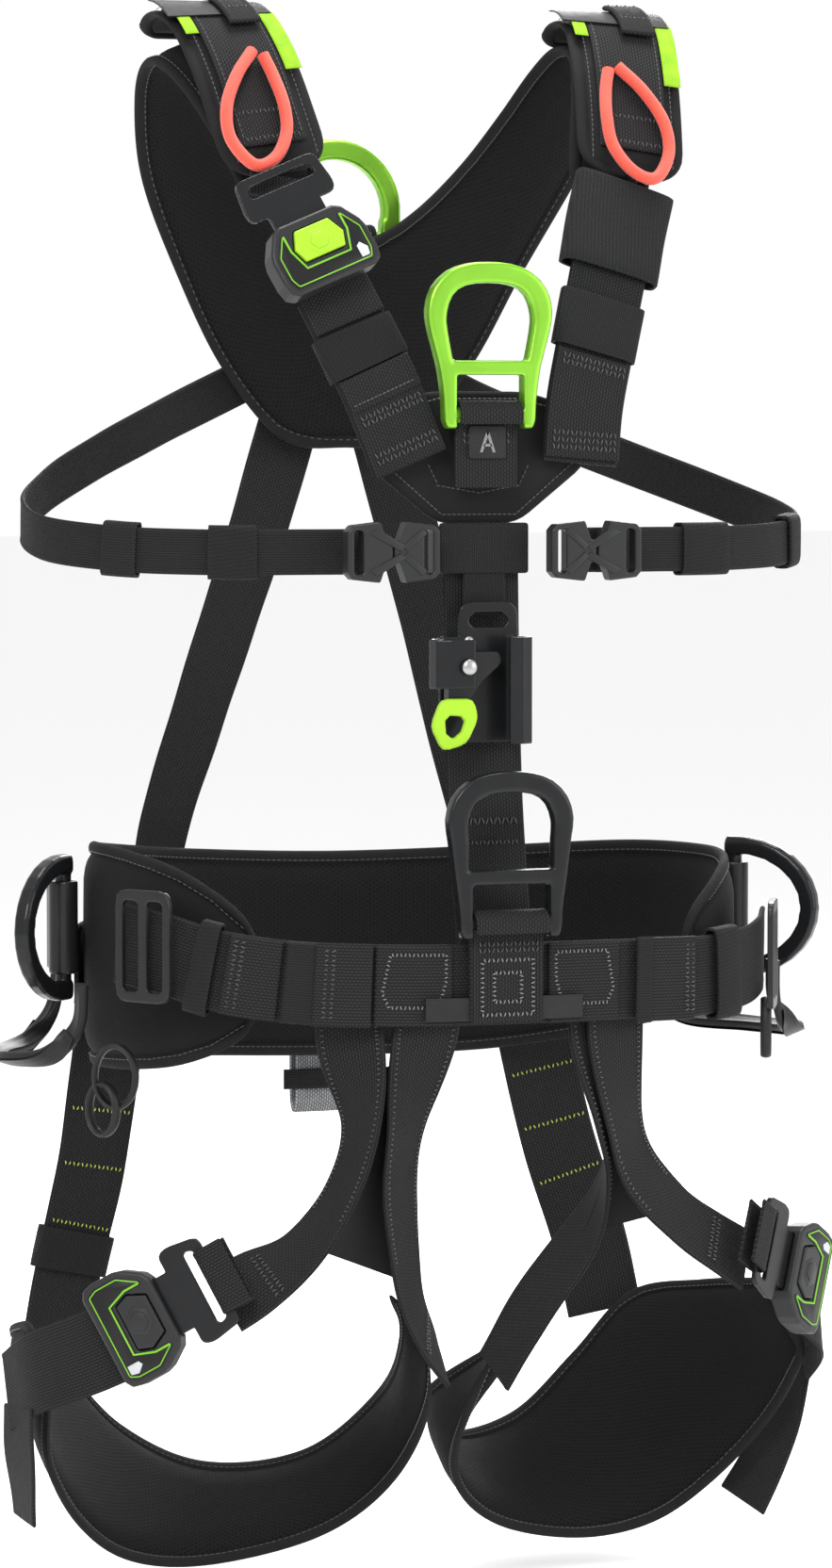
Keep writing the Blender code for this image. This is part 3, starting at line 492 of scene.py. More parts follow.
def sleeve(name, route, start, end, gap_across, gap_out, thick, finish, body="harness"):
    """An elastic keeper: a flat tube round a strap, open at both ends."""
    along = np.linspace(start, end, max(3, int(round((end - start) / 3.0))) + 1)
    half = np.interp(np.clip(along, 0, route.length), route.run, route.half) + gap_across
    rings, cloth, edges = [], [], []
    turn = np.linspace(0, 2 * np.pi, 28, endpoint=False)
    for grow, order in ((thick, slice(None)), (0.0, slice(None, None, -1))):
        for a, h in list(zip(along, half))[order]:
            c, s = np.cos(turn), np.sin(turn)
            across = np.sign(c) * np.abs(c) ** 0.35 * (h + grow)
            out = np.sign(s) * np.abs(s) ** 0.55 * (gap_out + grow)
            ease = 0.5 * min(1.0, min(a - start, end - a) / 3.0)
            rings.append(route.at(np.full(28, a), across, out * (0.93 + 0.14 * ease)))
            cloth.append(np.stack([across, np.full(28, a)], -1))
            edges.append(np.full(28, min(a - start, end - a) + 0.3))
    obj = skin(name, np.array(rings), np.array(cloth), np.array(edges), joined=True)
    return fit(obj, body, finish, "webbing")


cover_rows = [(122, 40, 530, 0, 120), (122, 12, 541, 0, 92), (120, -16, 535, 0, 62),
              (115, -40, 511, 0, 36), (110, -58, 480, 0, 26), (105, -72, 450, 0, 24)]
right_web = strap_route([
    (98, -77, 440, 0, 24), (90, -85, 420, 0, 22), (82, -94, 396, 0, 18),
    (70, -104, 358, 0, 10), (61, -109, 322, 0, 4), (58, -110, 290, 0, 0)], 45)
left_web = strap_route([
    (-83, -95.5, 384, 0, 18), (-72, -104, 358, 0, 12), (-58, -109, 326, 0, 4), (-44, -110, 292, 0, 0)], 45)
tongue_web = strap_route([
    (-105, -79, 447, 0, 22), (-106, -82, 441, 0, 24), (-107, -85, 435, 0, 26)], 40)
band("right_shoulder_web", right_web, 4.2, BLACK_WEB, nodes=("shoulder_web_right",))
band("left_shoulder_web", left_web, 4.2, BLACK_WEB, nodes=("shoulder_web_left",))
band("left_tongue_web", tongue_web, 3.0, BLACK_WEB, nodes=("tongue_web_left",))
sleeve("right_shoulder_elastic", right_web, -6, 50, 5.0, 6.0, 1.6, ELASTIC)
sleeve("right_web_keeper", right_web, 66, 98, 1.2, 4.4, 1.3, TIGHT_WEB)
band("right_web_overlap", right_web, 2.6, BLACK_WEB, 100, 158, lift=3.4, round_ends=True)
band("left_web_upper_overlap", left_web, 2.6, BLACK_WEB, -16, 20, lift=3.3, round_ends=True)
sleeve("left_web_keeper", left_web, 22, 46, 1.0, 4.0, 1.3, ELASTIC)
band("left_web_middle_overlap", left_web, 2.4, BLACK_WEB, 47, 66, lift=4.4, round_ends=True)
band("left_web_lower_overlap", left_web, 2.6, BLACK_WEB, 62, 104, lift=3.0, round_ends=True)
web_seam = Seam("shoulder_web_stitches")
for a in (104, 107.5, 144, 148, 152):
    web_seam.line(right_web, [(a, -19), (a, 19)], 4.9, 2.6, 3.0)
for a in (70, 73.5, 92, 96):
    web_seam.line(left_web, [(a, -19), (a, 19)], 4.5, 2.6, 3.0)
web_seam.line(left_web, [(-10, -20), (-10, 20)], 4.8, 2.6, 3.0)
web_seam.line(left_web, [(62, -20), (62, 20)], 5.7, 2.6)
web_seam.sew("harness", BLACK_THREAD)

# --- shoulder covers ---------------------------------------------------------
# A padded cover over each shoulder with a strip of webbing down its middle. A band of
# tape sewn across it holds an orange cord loop, in which a lanyard's hook is parked.


def anodised(name, color, rough=0.3, scratch=0.08, metal=0.9):
    """Anodised aluminium: even colour, faint tumbling marks and a slightly varied gloss."""
    finish = Finish(name, color, rough, metal, Specular_IOR_Level=0.3)
    fine = finish.spots(2600.0, 2.0)
    broad = finish.spots(60.0, 3.0)
    deep = tuple(c * 0.78 for c in color)
    finish.feed("Base Color", finish.tint(broad * 0.7 + fine * 0.3, deep, color))
    finish.feed("Roughness", rough - 0.08 + broad * 0.12 + fine * scratch)
    finish.relief(fine, 0.02, 0.5)
    return finish.made


def braided(name, low, high):
    """A kernmantle cord: two sets of strands that cross round it, painted lighter on their tops as highlight and
    darker between them as shade.
    """
    finish = Finish(name, high, 0.6, Sheen_Weight=0.3)
    spot = finish.node("ShaderNodeUVMap", {"uv_map": "weave"})
    x = finish.node("ShaderNodeSeparateXYZ", None, [spot], 0) * 1000.0
    y = finish.node("ShaderNodeSeparateXYZ", None, [spot], 1) * 1000.0
    one = ((x + y) * (np.pi / 1.3)).math("SINE").math("ABSOLUTE")
    two = ((x - y) * (np.pi / 1.3)).math("SINE").math("ABSOLUTE")
    rise = one.math("MAXIMUM", two * 0.92)
    wear = finish.spots(500.0, 2.0)
    # The strands' height paints a highlight on their tops and shade between them; the wear spots add random tone.
    finish.feed("Base Color", finish.tint(finish.step(rise + wear * 0.3, 0.45, 1.15), low, high))
    finish.feed("Roughness", 0.5 + wear * 0.2)
    finish.relief(rise, 0.3)
    return finish.made


ORANGE_CORD = braided("orange_cord", (0.46, 0.022, 0.010), (0.86, 0.075, 0.035))
LOOP = [(113, -49, 518), (125, -58, 504), (134, -67, 486), (134, -74, 468), (123, -81, 454),
        (110, -79, 458), (101, -72, 472), (100, -65, 488), (103, -56, 504), (107, -50, 516)]


def park_loop(name, route, node):
    """A cord loop, swept as a round tube."""
    line = through(route, 8)
    along = unit(np.gradient(line, axis=0))
    side = unit(np.cross(along, np.array([0.2, -1.0, 0.35])))
    other = np.cross(along, side)
    turn = np.linspace(0, 2 * np.pi, 16, endpoint=False)
    tube = (line[:, None] + (side[:, None] * np.cos(turn)[:, None] + other[:, None]
                             * np.sin(turn)[:, None]) * 3.5)
    step = np.linalg.norm(np.diff(line, axis=0), axis=1)
    run = np.concatenate([[0], np.cumsum(step)])
    around = np.broadcast_to(np.abs(turn - np.pi) * 3.5, tube.shape[:2])
    cloth = np.stack([around, np.broadcast_to(run[:, None], tube.shape[:2])], -1)
    obj = skin(name, tube, cloth, np.full(tube.shape[:2], 5.0))
    fit(obj, "harness", ORANGE_CORD, "cord", node)


for side, name in ((-1, "left"), (1, "right")):
    rows = [(x * side, y, z, h, t) for x, y, z, h, t in cover_rows]
    route = strap_route(rows, 64)
    fit(padding(name + "_shoulder_cover", route, 8.0, 20.0, 9), "harness", FABRIC, "padding",
        "shoulder_cover_" + name)
    band(name + "_cover_web", route, 2.2, BLACK_WEB, 8, 148, 40, 0, 5.2, round_ends=True)
    band(name + "_park_label", route, 1.0, LABEL, 38, 62, 64, -3, 7.2)
    band(name + "_park_band", route, 3.0, TIGHT_WEB, 36, 72, 20, 8, 9.6, round_ends=True)
    band(name + "_cover_lining_outer", route, 1.2, LIME_CLOTH, 58, 104, 10, 25.5, 6.4, round_ends=True)
    band(name + "_cover_lining_inner", route, 1.2, LIME_CLOTH, 52, 74, 8, -25, 6.2, round_ends=True)
    cover_seam = Seam(name + "_cover_stitches")
    for u in (-24, 24):
        cover_seam.line(route, [(6, u), (156, u)], 4.3, 3.2)
    for u in (-17.5, 17.5):
        cover_seam.line(route, [(12, u), (144, u)], 6.4, 3.2)
    cover_seam.line(route, [(128, -17), (128, 17)], 6.4, 2.6, 2.6)
    cover_seam.line(route, [(144, -17), (144, 17)], 6.4, 2.6, 2.6)
    cover_seam.line(route, [(40, -1), (40, 17)], 11.2, 2.6, 2.4)
    cover_seam.line(route, [(60, -1), (60, 17)], 11.2, 2.6, 2.4)
    cover_seam.sew("harness", BLACK_THREAD, 0.65)
park_loop("right_park_loop", [(x - 7, y - 1, z - 4) for x, y, z in LOOP], "park_loop_right")
park_loop("left_park_loop", [(-x, y, z) for x, y, z in LOOP], "park_loop_left")

# --- sternal pad and front web -----------------------------------------------
# A sewn fabric pad spreads the sternal ring's load over the breastbone. One length of
# webbing runs from it down to the belt, through the chest ascender.


def placed(centre, heading, tilt=0.0, roll=0.0):
    """The place of a flat piece: its right, its up and its outward way, in metres."""
    out = facing(heading, tilt)
    h, r = np.radians(heading), np.radians(roll)
    right = np.array([np.cos(h), np.sin(h), 0.0])
    up = np.cross(out, right)
    columns = (right * np.cos(r) + up * np.sin(r), up * np.cos(r) - right * np.sin(r), out,
               np.asarray(centre, float) * MM)
    made = Matrix.Identity(4)
    for i, column in enumerate(columns):
        for j in range(3):
            made[j][i] = float(column[j])
    return made


def rounded(points, radius, steps=4):
    made = []
    for i, p in enumerate(np.asarray(points, float)):
        a, b = np.asarray(points[i - 1]) - p, np.asarray(points[(i + 1) % len(points)]) - p
        reach = min(radius, 0.45 * np.linalg.norm(a), 0.45 * np.linalg.norm(b))
        for t in np.linspace(0, 1, steps + 1):
            made.append(p + unit(a) * reach * (1 - t) ** 2 + unit(b) * reach * t ** 2)
    return made


def cut_plate(name, outline, low, high, place, soft=0.5, segments=3):
    """A flat piece cut to an outline, with its edges eased."""
    bpy.ops.mesh.primitive_circle_add(vertices=len(outline), fill_type="NGON")
    obj = bpy.context.object
    obj.name = obj.data.name = name
    for vert, (u, v) in zip(obj.data.vertices, outline):
        vert.co = (u * MM, v * MM, low * MM)
    bpy.ops.object.mode_set(mode="EDIT")
    bpy.ops.mesh.select_all(action="SELECT")
    bpy.ops.mesh.extrude_region_move(TRANSFORM_OT_translate={"value": (0, 0, (high - low) * MM)})
    bpy.ops.mesh.select_all(action="SELECT")
    bpy.ops.mesh.normals_make_consistent(inside=False)
    bpy.ops.object.mode_set(mode="OBJECT")
    if soft:
        bevel = obj.modifiers.new("eased", "BEVEL")
        bevel.width, bevel.segments = soft * MM, segments
        bevel.limit_method, bevel.angle_limit = "ANGLE", np.radians(50)
        bpy.ops.object.modifier_apply(modifier="eased")
    cloth = obj.data.uv_layers[0] if obj.data.uv_layers else obj.data.uv_layers.new(name="weave")
    cloth.name = "weave"
    for loop, spot in zip(obj.data.loops, cloth.data):
        spot.uv = obj.data.vertices[loop.vertex_index].co.xy
    far = obj.data.attributes.new("edge", "FLOAT", "POINT")
    far.data.foreach_set("value", [0.01] * len(obj.data.vertices))
    obj.location = (0, 0, 0)
    obj.data.transform(place)
    obj.data.update()
    return obj


sternal_outline = rounded([(-24, 257), (24, 257), (66, 290), (62, 320), (30, 330), (-30, 330),
                           (-62, 320), (-66, 290)], 9)
chest_face = placed((0, -98, 0), 0)
fit(cut_plate("sternal_padding", sternal_outline, 0, 6, chest_face, 2.6, 4), "harness", FABRIC, "padding",
    "sternal_pad")
fit(cut_plate("chest_centre_web", rounded([(-26, -14), (26, -14), (26, 14), (-26, 14)], 2),
              0, 5, placed((0, -110, 243.5), 0), 1.2), "harness", TIGHT_WEB, "webbing", "chest_web_centre")
front_route = strap_route([
    (0, -107, 256, 0, 0), (0, -108, 220, 0, 2), (0, -110, 170, 0, 2),
    (0, -114, 110, 0, 4), (0, -122, 60, 0, 6), (0, -131, 20, 0, 6)], 45)
band("front_load_web", front_route, 2.8, BLACK_WEB, nodes=("front_web",))
band("ascender_hanger", front_route, 2.4, ELASTIC, 12, 50, 25, 0, 5.0, round_ends=True)
sternal_route = strap_route([(0, -104, 330, 0, 0), (0, -104, 300, 0, 0), (0, -104, 257, 0, 0)], 120)
pad_seam = Seam("sternal_pad_stitches")
pad_seam.line(sternal_route, [(4, 24), (12, 56), (38, 58), (68, 22), (68, -22), (38, -58), (12, -56),
                              (4, -24), (4, 24)], 0.5, 3.0)
pad_seam.line(sternal_route, [(40, -30), (52, -24), (56, 0), (52, 24), (40, 30)], 0.5, 3.0)
pad_seam.line(front_route, [(164, -18), (164, 18)], 1.9, 2.4, 4.0)
pad_seam.line(front_route, [(176, -18), (176, 18)], 1.9, 2.4, 2.4)
pad_seam.sew("harness", BLACK_THREAD)

# --- chest strap and back webs -----------------------------------------------
# Light webbing clips across the chest and runs round the ribs to the yoke. Two load
# webs cross from the yoke's foot down to the back of the belt.

chest_rows = [
    (64, -108.5, 242, 0, 0), (104, -105.5, 242, 10, 0), (152, -94, 242, 30, 0),
    (200, -66, 244, 54, 0), (229, -22, 250, 88, 0), (222, 26, 262, 112, 0),
    (184, 70, 282, 142, 0), (132, 101, 305, 162, 0), (92, 118, 322, 176, 0), (62, 119.5, 336, 180, 0)]
back_rows = [
    (20, 128, 338, 180, 0), (32, 128, 300, 178, 0), (47, 129, 250, 174, 0),
    (66, 134, 190, 170, 0), (84, 141, 130, 164, 0), (100, 144, 78, 158, 0),
    (108, 140, 40, 152, 0), (112, 138, 12, 150, 0)]
for side, name in ((-1, "left"), (1, "right")):
    chest_route = strap_route([(x * side, y, z, h * side, t) for x, y, z, h, t in chest_rows], 25)
    back_route = strap_route([(x * side, y, z, h * side, t) for x, y, z, h, t in back_rows], 38)
    band(name + "_chest_web", chest_route, 2.6, TIGHT_WEB, nodes=("chest_web_" + name,), wave=0.4)
    band(name + "_back_web", back_route, 2.6, BLACK_WEB, nodes=("back_web_" + name,), wave=0.3)
    first, last = ((66, 92), (131, 150)) if side < 0 else ((58, 90), (150, 168))
    band(name + "_chest_web_tail", chest_route, 1.8, TIGHT_WEB, 4, last[1] - 6, 25, 0, 2.9, wave=0.3)
    sleeve(name + "_chest_keeper", chest_route, *first, 1.2, 5.4, 1.2, ELASTIC)
    sleeve(name + "_chest_slider", chest_route, *last, 1.4, 5.4, 1.4, TIGHT_WEB)

# --- attachment rings ----------------------------------------------------------
# Forged aluminium rings, hung on a round pin in a roll of webbing: lime at chest and
# back, black at the waist. Their edges are worn round by tumbling.

LIME_METAL = anodised("lime_anodising", (0.24, 0.56, 0.045), 0.30, 0.12, 0.75)
DARK_METAL = anodised("black_anodising", (0.012, 0.0125, 0.0135), 0.22, 0.10, 0.25)
BRIGHT_STEEL = anodised("bright_steel", (0.42, 0.42, 0.42), 0.30, 0.14, 1.0)
DARK_STEEL = anodised("dark_steel", (0.024, 0.0245, 0.026), 0.26, 0.12, 0.5)


def worn_solid(node, name, voxel, passes, body, finish, slot):
    """A copy of a part's solid, rebuilt finely with its edges worn round."""
    obj = bpy.data.objects.new(name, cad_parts[node].data.copy())
    bpy.context.scene.collection.objects.link(obj)
    bpy.context.view_layer.objects.active = obj
    obj.select_set(True)
    bpy.ops.object.mode_set(mode="EDIT")
    bpy.ops.mesh.select_all(action="SELECT")
    bpy.ops.mesh.remove_doubles(threshold=0.00002)
    bpy.ops.object.mode_set(mode="OBJECT")
    grid = obj.modifiers.new("fine", "REMESH")
    grid.mode, grid.voxel_size = "VOXEL", voxel * MM
    ease = obj.modifiers.new("ease", "SMOOTH")
    ease.factor, ease.iterations = 0.5, passes
    bpy.ops.object.modifier_apply(modifier="fine")
    bpy.ops.object.modifier_apply(modifier="ease")
    obj.select_set(False)
    fit(obj, body, finish, slot, node)
    obj.data.shade_smooth()
    return obj


for node, finish, slot in (
        ("sternal_ring", LIME_METAL, "lime_aluminium"), ("dorsal_ring", LIME_METAL, "lime_aluminium"),
        ("ventral_ring", DARK_METAL, "black_aluminium"), ("side_ring_left", DARK_METAL, "black_aluminium"),
        ("side_ring_right", DARK_METAL, "black_aluminium")):
    worn_solid(node, node.replace("ring", "forged_ring"), 0.8, 7, node, finish, slot)

ROLL_MIDDLE = 6.65  # from the pin's centre to the middle of the webbing round it
# Each ring's pin, the tail's length, how far in front of the pin it hangs, and its thickness.
hangs = {"sternal": ((0, -119, 317), 40, 4.0, 4.0), "ventral": ((0, -151, 38), 54, 5.0, 6.0),
         "dorsal": ((0, 127, 421), 112, -5.5, 4.0)}
roll_seam = Seam("ring_web_stitches")
for name, ((x, y, z), tail, behind, thick) in hangs.items():
    front = 1 if behind > 0 else -1
    low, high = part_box(name + "_ring_web")
    wide = (high.x - low.x) / MM - 0.4
    mid_y = y + behind
    heading = 0 if front > 0 else 180
    # The roll goes round the pin, then both layers hang straight down.
    line = np.array([(0, y + np.cos(a) * front * ROLL_MIDDLE, z + np.sin(a) * ROLL_MIDDLE)
                     for a in np.radians(np.linspace(-40, 220, 14))])
    along = unit(np.gradient(line, axis=0))
    across = np.tile([1.0, 0.0, 0.0], (len(line), 1))
    roll = Route(line, across, np.full(len(line), wide / 2))
    band(name + "_ring_roll", roll, 3.4, BLACK_WEB, nodes=(name + "_ring_web",))
    tail_route = strap_route([(0, mid_y, z - 3, heading, 0), (0, mid_y, z - tail * 0.5, heading, 0),
                              (0, mid_y, z - tail, heading, 0)], wide)
    band(name + "_ring_tail", tail_route, thick, BLACK_WEB)
    for a in (8, 11.5):
        roll_seam.line(tail_route, [(a, -wide / 2 + 4), (a, wide / 2 - 4)], thick / 2 + 0.15, 2.6, 2.6)
    if name == "sternal":
        plate = placed((0, mid_y - thick / 2 - 0.3, z - 15), 0)
        fit(cut_plate("point_tab", rounded([(-11, -9), (11, -9), (11, 9), (-11, 9)], 2), 0, 0.9, plate, 0.3),
            "harness", LABEL, "webbing")
        for k, strip in enumerate((((-4.6, -5.6), (-3.0, -5.6), (0.9, 5.6), (-0.9, 5.6)),
                                   ((4.6, -5.6), (0.9, 5.6), (-0.9, 5.6), (3.0, -5.6)),
                                   ((-2.6, -2.4), (2.6, -2.4), (2.1, -0.9), (-2.1, -0.9)))):
            fit(cut_plate("letter_stroke_%d" % k, strip, 0.9, 1.25, plate, 0),
                "harness", GREY_THREAD, "webbing")
    if name == "ventral":
        for half, pitch in ((15, 2.6), (8, 2.4)):
            middle = tail - 22
            corners = [(middle - half, -half), (middle - half, half), (middle + half, half),
                       (middle + half, -half), (middle - half, -half)]
            box_seam = Seam("belt_box_stitch_%d" % half)
            box_seam.line(tail_route, corners, thick / 2 + 0.2, pitch, 2.2)
            box_seam.sew("harness", GREY_THREAD, 0.8)
roll_seam.sew("harness", BLACK_THREAD)

# --- waist belt -----------------------------------------------------------------
# A crowned foam pad round the back and hips carries a 45 mm belt. The belt's spare
# ends are folded back and sewn, and each hip has a frame buckle and a side ring.

HALF_WIDTH, HALF_DEPTH, HIGH = 186.0, 136.0, 122.0


def hip(angle, grow):
    a = np.radians(angle)
    return (HALF_WIDTH + grow) * np.sin(a), (HALF_DEPTH + grow) * np.cos(a)


waist_edges = []
for angle, middle, share in (
        (-137, 8, 0.34), (-132, 9, 0.62), (-120, 12, 0.88), (-105, 14, 1.0), (-85, 14, 1.04),
        (-60, 10, 1.02), (-30, 3, 1.0), (0, -2, 1.0), (30, 0, 1.0), (60, 10, 0.92),
        (85, 18, 0.80), (105, 20, 0.74), (120, 16, 0.66), (132, 11, 0.5), (137, 9, 0.3)):
    x, y = hip(angle, 0)
    waist_edges.append((x, y, middle + HIGH * share / 2, x, y, middle - HIGH * share / 2))
waist_route = pad_route(waist_edges)
fit(padding("waist_padding", waist_route, 12.0, 8.0), "harness", SPACER, "padding", "waist_pad")
waist_seam = Seam("waist_binding_stitches")
spots = np.arange(8, waist_route.length - 8, 20.0)
for side in (-1, 1):
    for face in (-1, 1):
        waist_seam.line(waist_route, [(a, side * (np.interp(a, waist_route.run, waist_route.half) - 5.6))
                                      for a in spots], face * 2.55, 3.6)
waist_seam.sew("harness", BLACK_THREAD, 0.6)

back_belt = []
for a in range(-80, 81, 20):
    x, y = hip(a, 10)
    back_belt.append((x, y, 4 - a * 0.03, 180 - a, 0))
band("back_belt", strap_route(back_belt, 45), 2.6, BLACK_WEB, nodes=("waist_web_back",))
belt = strap_route([
    (-195, -56, 26, -72, 0), (-179, -86, 22, -58, 0), (-156, -110, 14, -42, 0),
    (-118, -128, 8, -24, 0), (-60, -138, 5, -8, 0), (0, -140, 4, 0, 0),
    (60, -138, 4, 8, 0), (118, -128, 3, 24, 0), (156, -110, 5, 42, 0),
    (179, -86, 9, 58, 0), (195, -56, 13, 72, 0)], 45)
band("front_belt", belt, 2.8, BLACK_WEB, nodes=("waist_web_front",))
band("belt_fold_left_outer", belt, 2.6, BLACK_WEB, 74, 104, lift=3.0, wave=0.5, round_ends=True)
band("belt_fold_left_thick", belt, 4.0, TIGHT_WEB, 106, 124, lift=3.6, round_ends=True)
band("belt_fold_left_inner", belt, 2.4, BLACK_WEB, 122, 154, 46, 0, 5.2, wave=0.4, round_ends=True)
band("belt_patch_left", belt, 2.6, BLACK_WEB, 156, 200, 45, 0, 3.0, round_ends=True)
band("belt_patch_right", belt, 2.6, BLACK_WEB, 257, 300, 45, 0, 3.0, round_ends=True)
band("belt_fold_right", belt, 3.2, BLACK_WEB, 311, 350, 47, 0, 3.4, wave=0.6, round_ends=True)
band("belt_fold_right_edge", belt, 2.4, TIGHT_WEB, 310, 320, 48, 0, 5.6, round_ends=True)
sleeve("belt_keeper_right", belt, 366, 386, 2.0, 5.0, 1.6, ELASTIC)
sleeve("belt_keeper_left", belt, 56, 68, 2.0, 5.6, 1.6, ELASTIC)
band("belt_label_left", belt, 1.0, LABEL, 184, 210, 13, -13, 6.2)
band("belt_label_right", belt, 1.0, LABEL, 250, 276, 13, -13, 6.2)
patch_seam = Seam("belt_patch_stitches")
for first, last, lean in ((160, 196, 1), (261, 296, -1)):
    corner = (first + (4 if lean > 0 else 0), 17)
    outline = [corner, (last - (0 if lean > 0 else 4), 17), (last, 2 if lean > 0 else -4),
               (last - 4, -12), (first + 4, -12), (first, -4 if lean > 0 else 2), corner]
    patch_seam.line(belt, outline, 4.5, 2.4, 2.0)
patch_seam.sew("harness", GREY_THREAD, 0.7)
fold_seam = Seam("belt_fold_stitches")
for a in (78, 82, 128, 132, 344, 348):
    fold_seam.line(belt, [(a, -19), (a, 19)], 6.5 if 120 < a < 140 else 5.1 if a > 300 else 4.4, 2.6, 2.6)
fold_seam.sew("harness", BLACK_THREAD)

for side, name in ((-1, "left"), (1, "right")):
    worn_solid("waist_buckle_" + name, name + "_frame_buckle", 0.6, 5, "waist_buckle_" + name, DARK_STEEL,
               "steel")
    worn_solid("side_ring_holder_" + name, name + "_ring_holder", 0.8, 5, "harness", DARK_STEEL,
               "black_plastic")

# --- gear loops, haul loop and tool loops ----------------------------------------
# Stiff plastic-covered loops at the hips carry gear. A grey webbing loop at the back
# carries a haul line, and small moulded ovals hang from the belt's ends.


def moulded(name, color, rough=0.42):
    """Moulded nylon: an even fine grain, slightly glossier where hands rub it."""
    finish = Finish(name, color, rough, Specular_IOR_Level=0.3)
    grain = finish.spots(3200.0, 1.0)
    rub = finish.spots(35.0, 3.0)
    pale = tuple(min(1.0, c * 1.35) for c in color)
    finish.feed("Base Color", finish.tint(rub, color, pale))
    finish.feed("Roughness", rough + 0.12 - rub * 0.2 + grain * 0.08)
    finish.relief(grain, 0.04, 0.6)
    return finish.made


BLACK_NYLON = moulded("black_nylon", (0.006, 0.006, 0.0063))
GREY_NYLON = moulded("grey_nylon", (0.011, 0.0113, 0.012), 0.36)
LIME_NYLON = moulded("lime_nylon", (0.24, 0.44, 0.015), 0.34)
GLOSS_BLACK = moulded("gloss_black", (0.003, 0.003, 0.0034), 0.30)
LIME_PAINT = moulded("lime_paint", (0.13, 0.36, 0.015), 0.3)
SILVER_FILM = moulded("silver_film", (0.40, 0.41, 0.42), 0.3)
gear_rows = [(210, -38, 2, 90, 0), (212, -36, -22, 90, -10), (226, -26, -38, 80, -50),
             (241, 2, -42, 95, -70), (232, 44, -43, 115, -70), (205, 76, -40, 130, -50),
             (189, 84, -24, 130, -10), (185, 84, 0, 130, 0)]
for side, name in ((-1, "left"), (1, "right")):
    route = strap_route([(x * side, y, z, h * side, t) for x, y, z, h, t in gear_rows], 11)
    band(name + "_gear_loop", route, 5.0, BLACK_NYLON, slot="black_plastic", nodes=("gear_loop_" + name,))
    for u in (-2.2, 2.2):
        band(name + "_gear_loop_rib_%d" % (u > 0), route, 1.2, BLACK_NYLON, 30, 180, 1.6, u, 2.5)
haul = strap_route([
    (0, 150, -36, 0, 0), (0, 150, -84, 0, 0), (0, 151.5, -94, 0, -45), (0, 155, -98, 0, -90),
    (0, 158.5, -94, 0, -135), (0, 160, -84, 0, -180), (0, 160, -36, 0, -180)], 33)
band("haul_webbing_loop", haul, 2.6, GREY_WEB, slot="grey_webbing", nodes=("haul_loop",))
holder = strap_route([(-24, 149.5, -78, 0, 0), (0, 146.5, -78, 0, 0), (24, 149.5, -78, 0, 0)], 12)
band("haul_loop_holder", holder, 2.2, TIGHT_WEB, round_ends=True)


def tool_loop(name, centre, wide, high, heading, bar=3.4, tilt=0.0):
    bpy.ops.mesh.primitive_torus_add(major_segments=48, minor_segments=14, major_radius=1.0,
                                     minor_radius=0.18)
    obj = bpy.context.object
    obj.name = obj.data.name = name
    for vert in obj.data.vertices:
        x, y, z = vert.co
        ring = np.hypot(x, y)
        grow = (ring - 1.0) / 0.18 * bar * 0.5
        vert.co = ((x / ring) * (wide / 2 + grow) * MM, (y / ring) * (high / 2 + grow) * MM,
                   z / 0.18 * bar * 0.95 * MM)
    obj.data.transform(placed(centre, heading, tilt))
    obj.data.update()
    return fit(obj, "harness", BLACK_NYLON, "black_plastic")


tool_loop("left_tool_loop_front", (-203, -76, -46), 24, 34, -40)
tool_loop("left_tool_loop_rear", (-209, -72, -64), 20, 28, -60)
tool_loop("right_tool_loop", (185, -84, -32), 18, 32, 66)

# --- leg loops ---------------------------------------------------------------------
# A padded sling round each thigh. A riser holds it up behind, and two straps join it to
# the belt in front, with a fabric gusset between them.

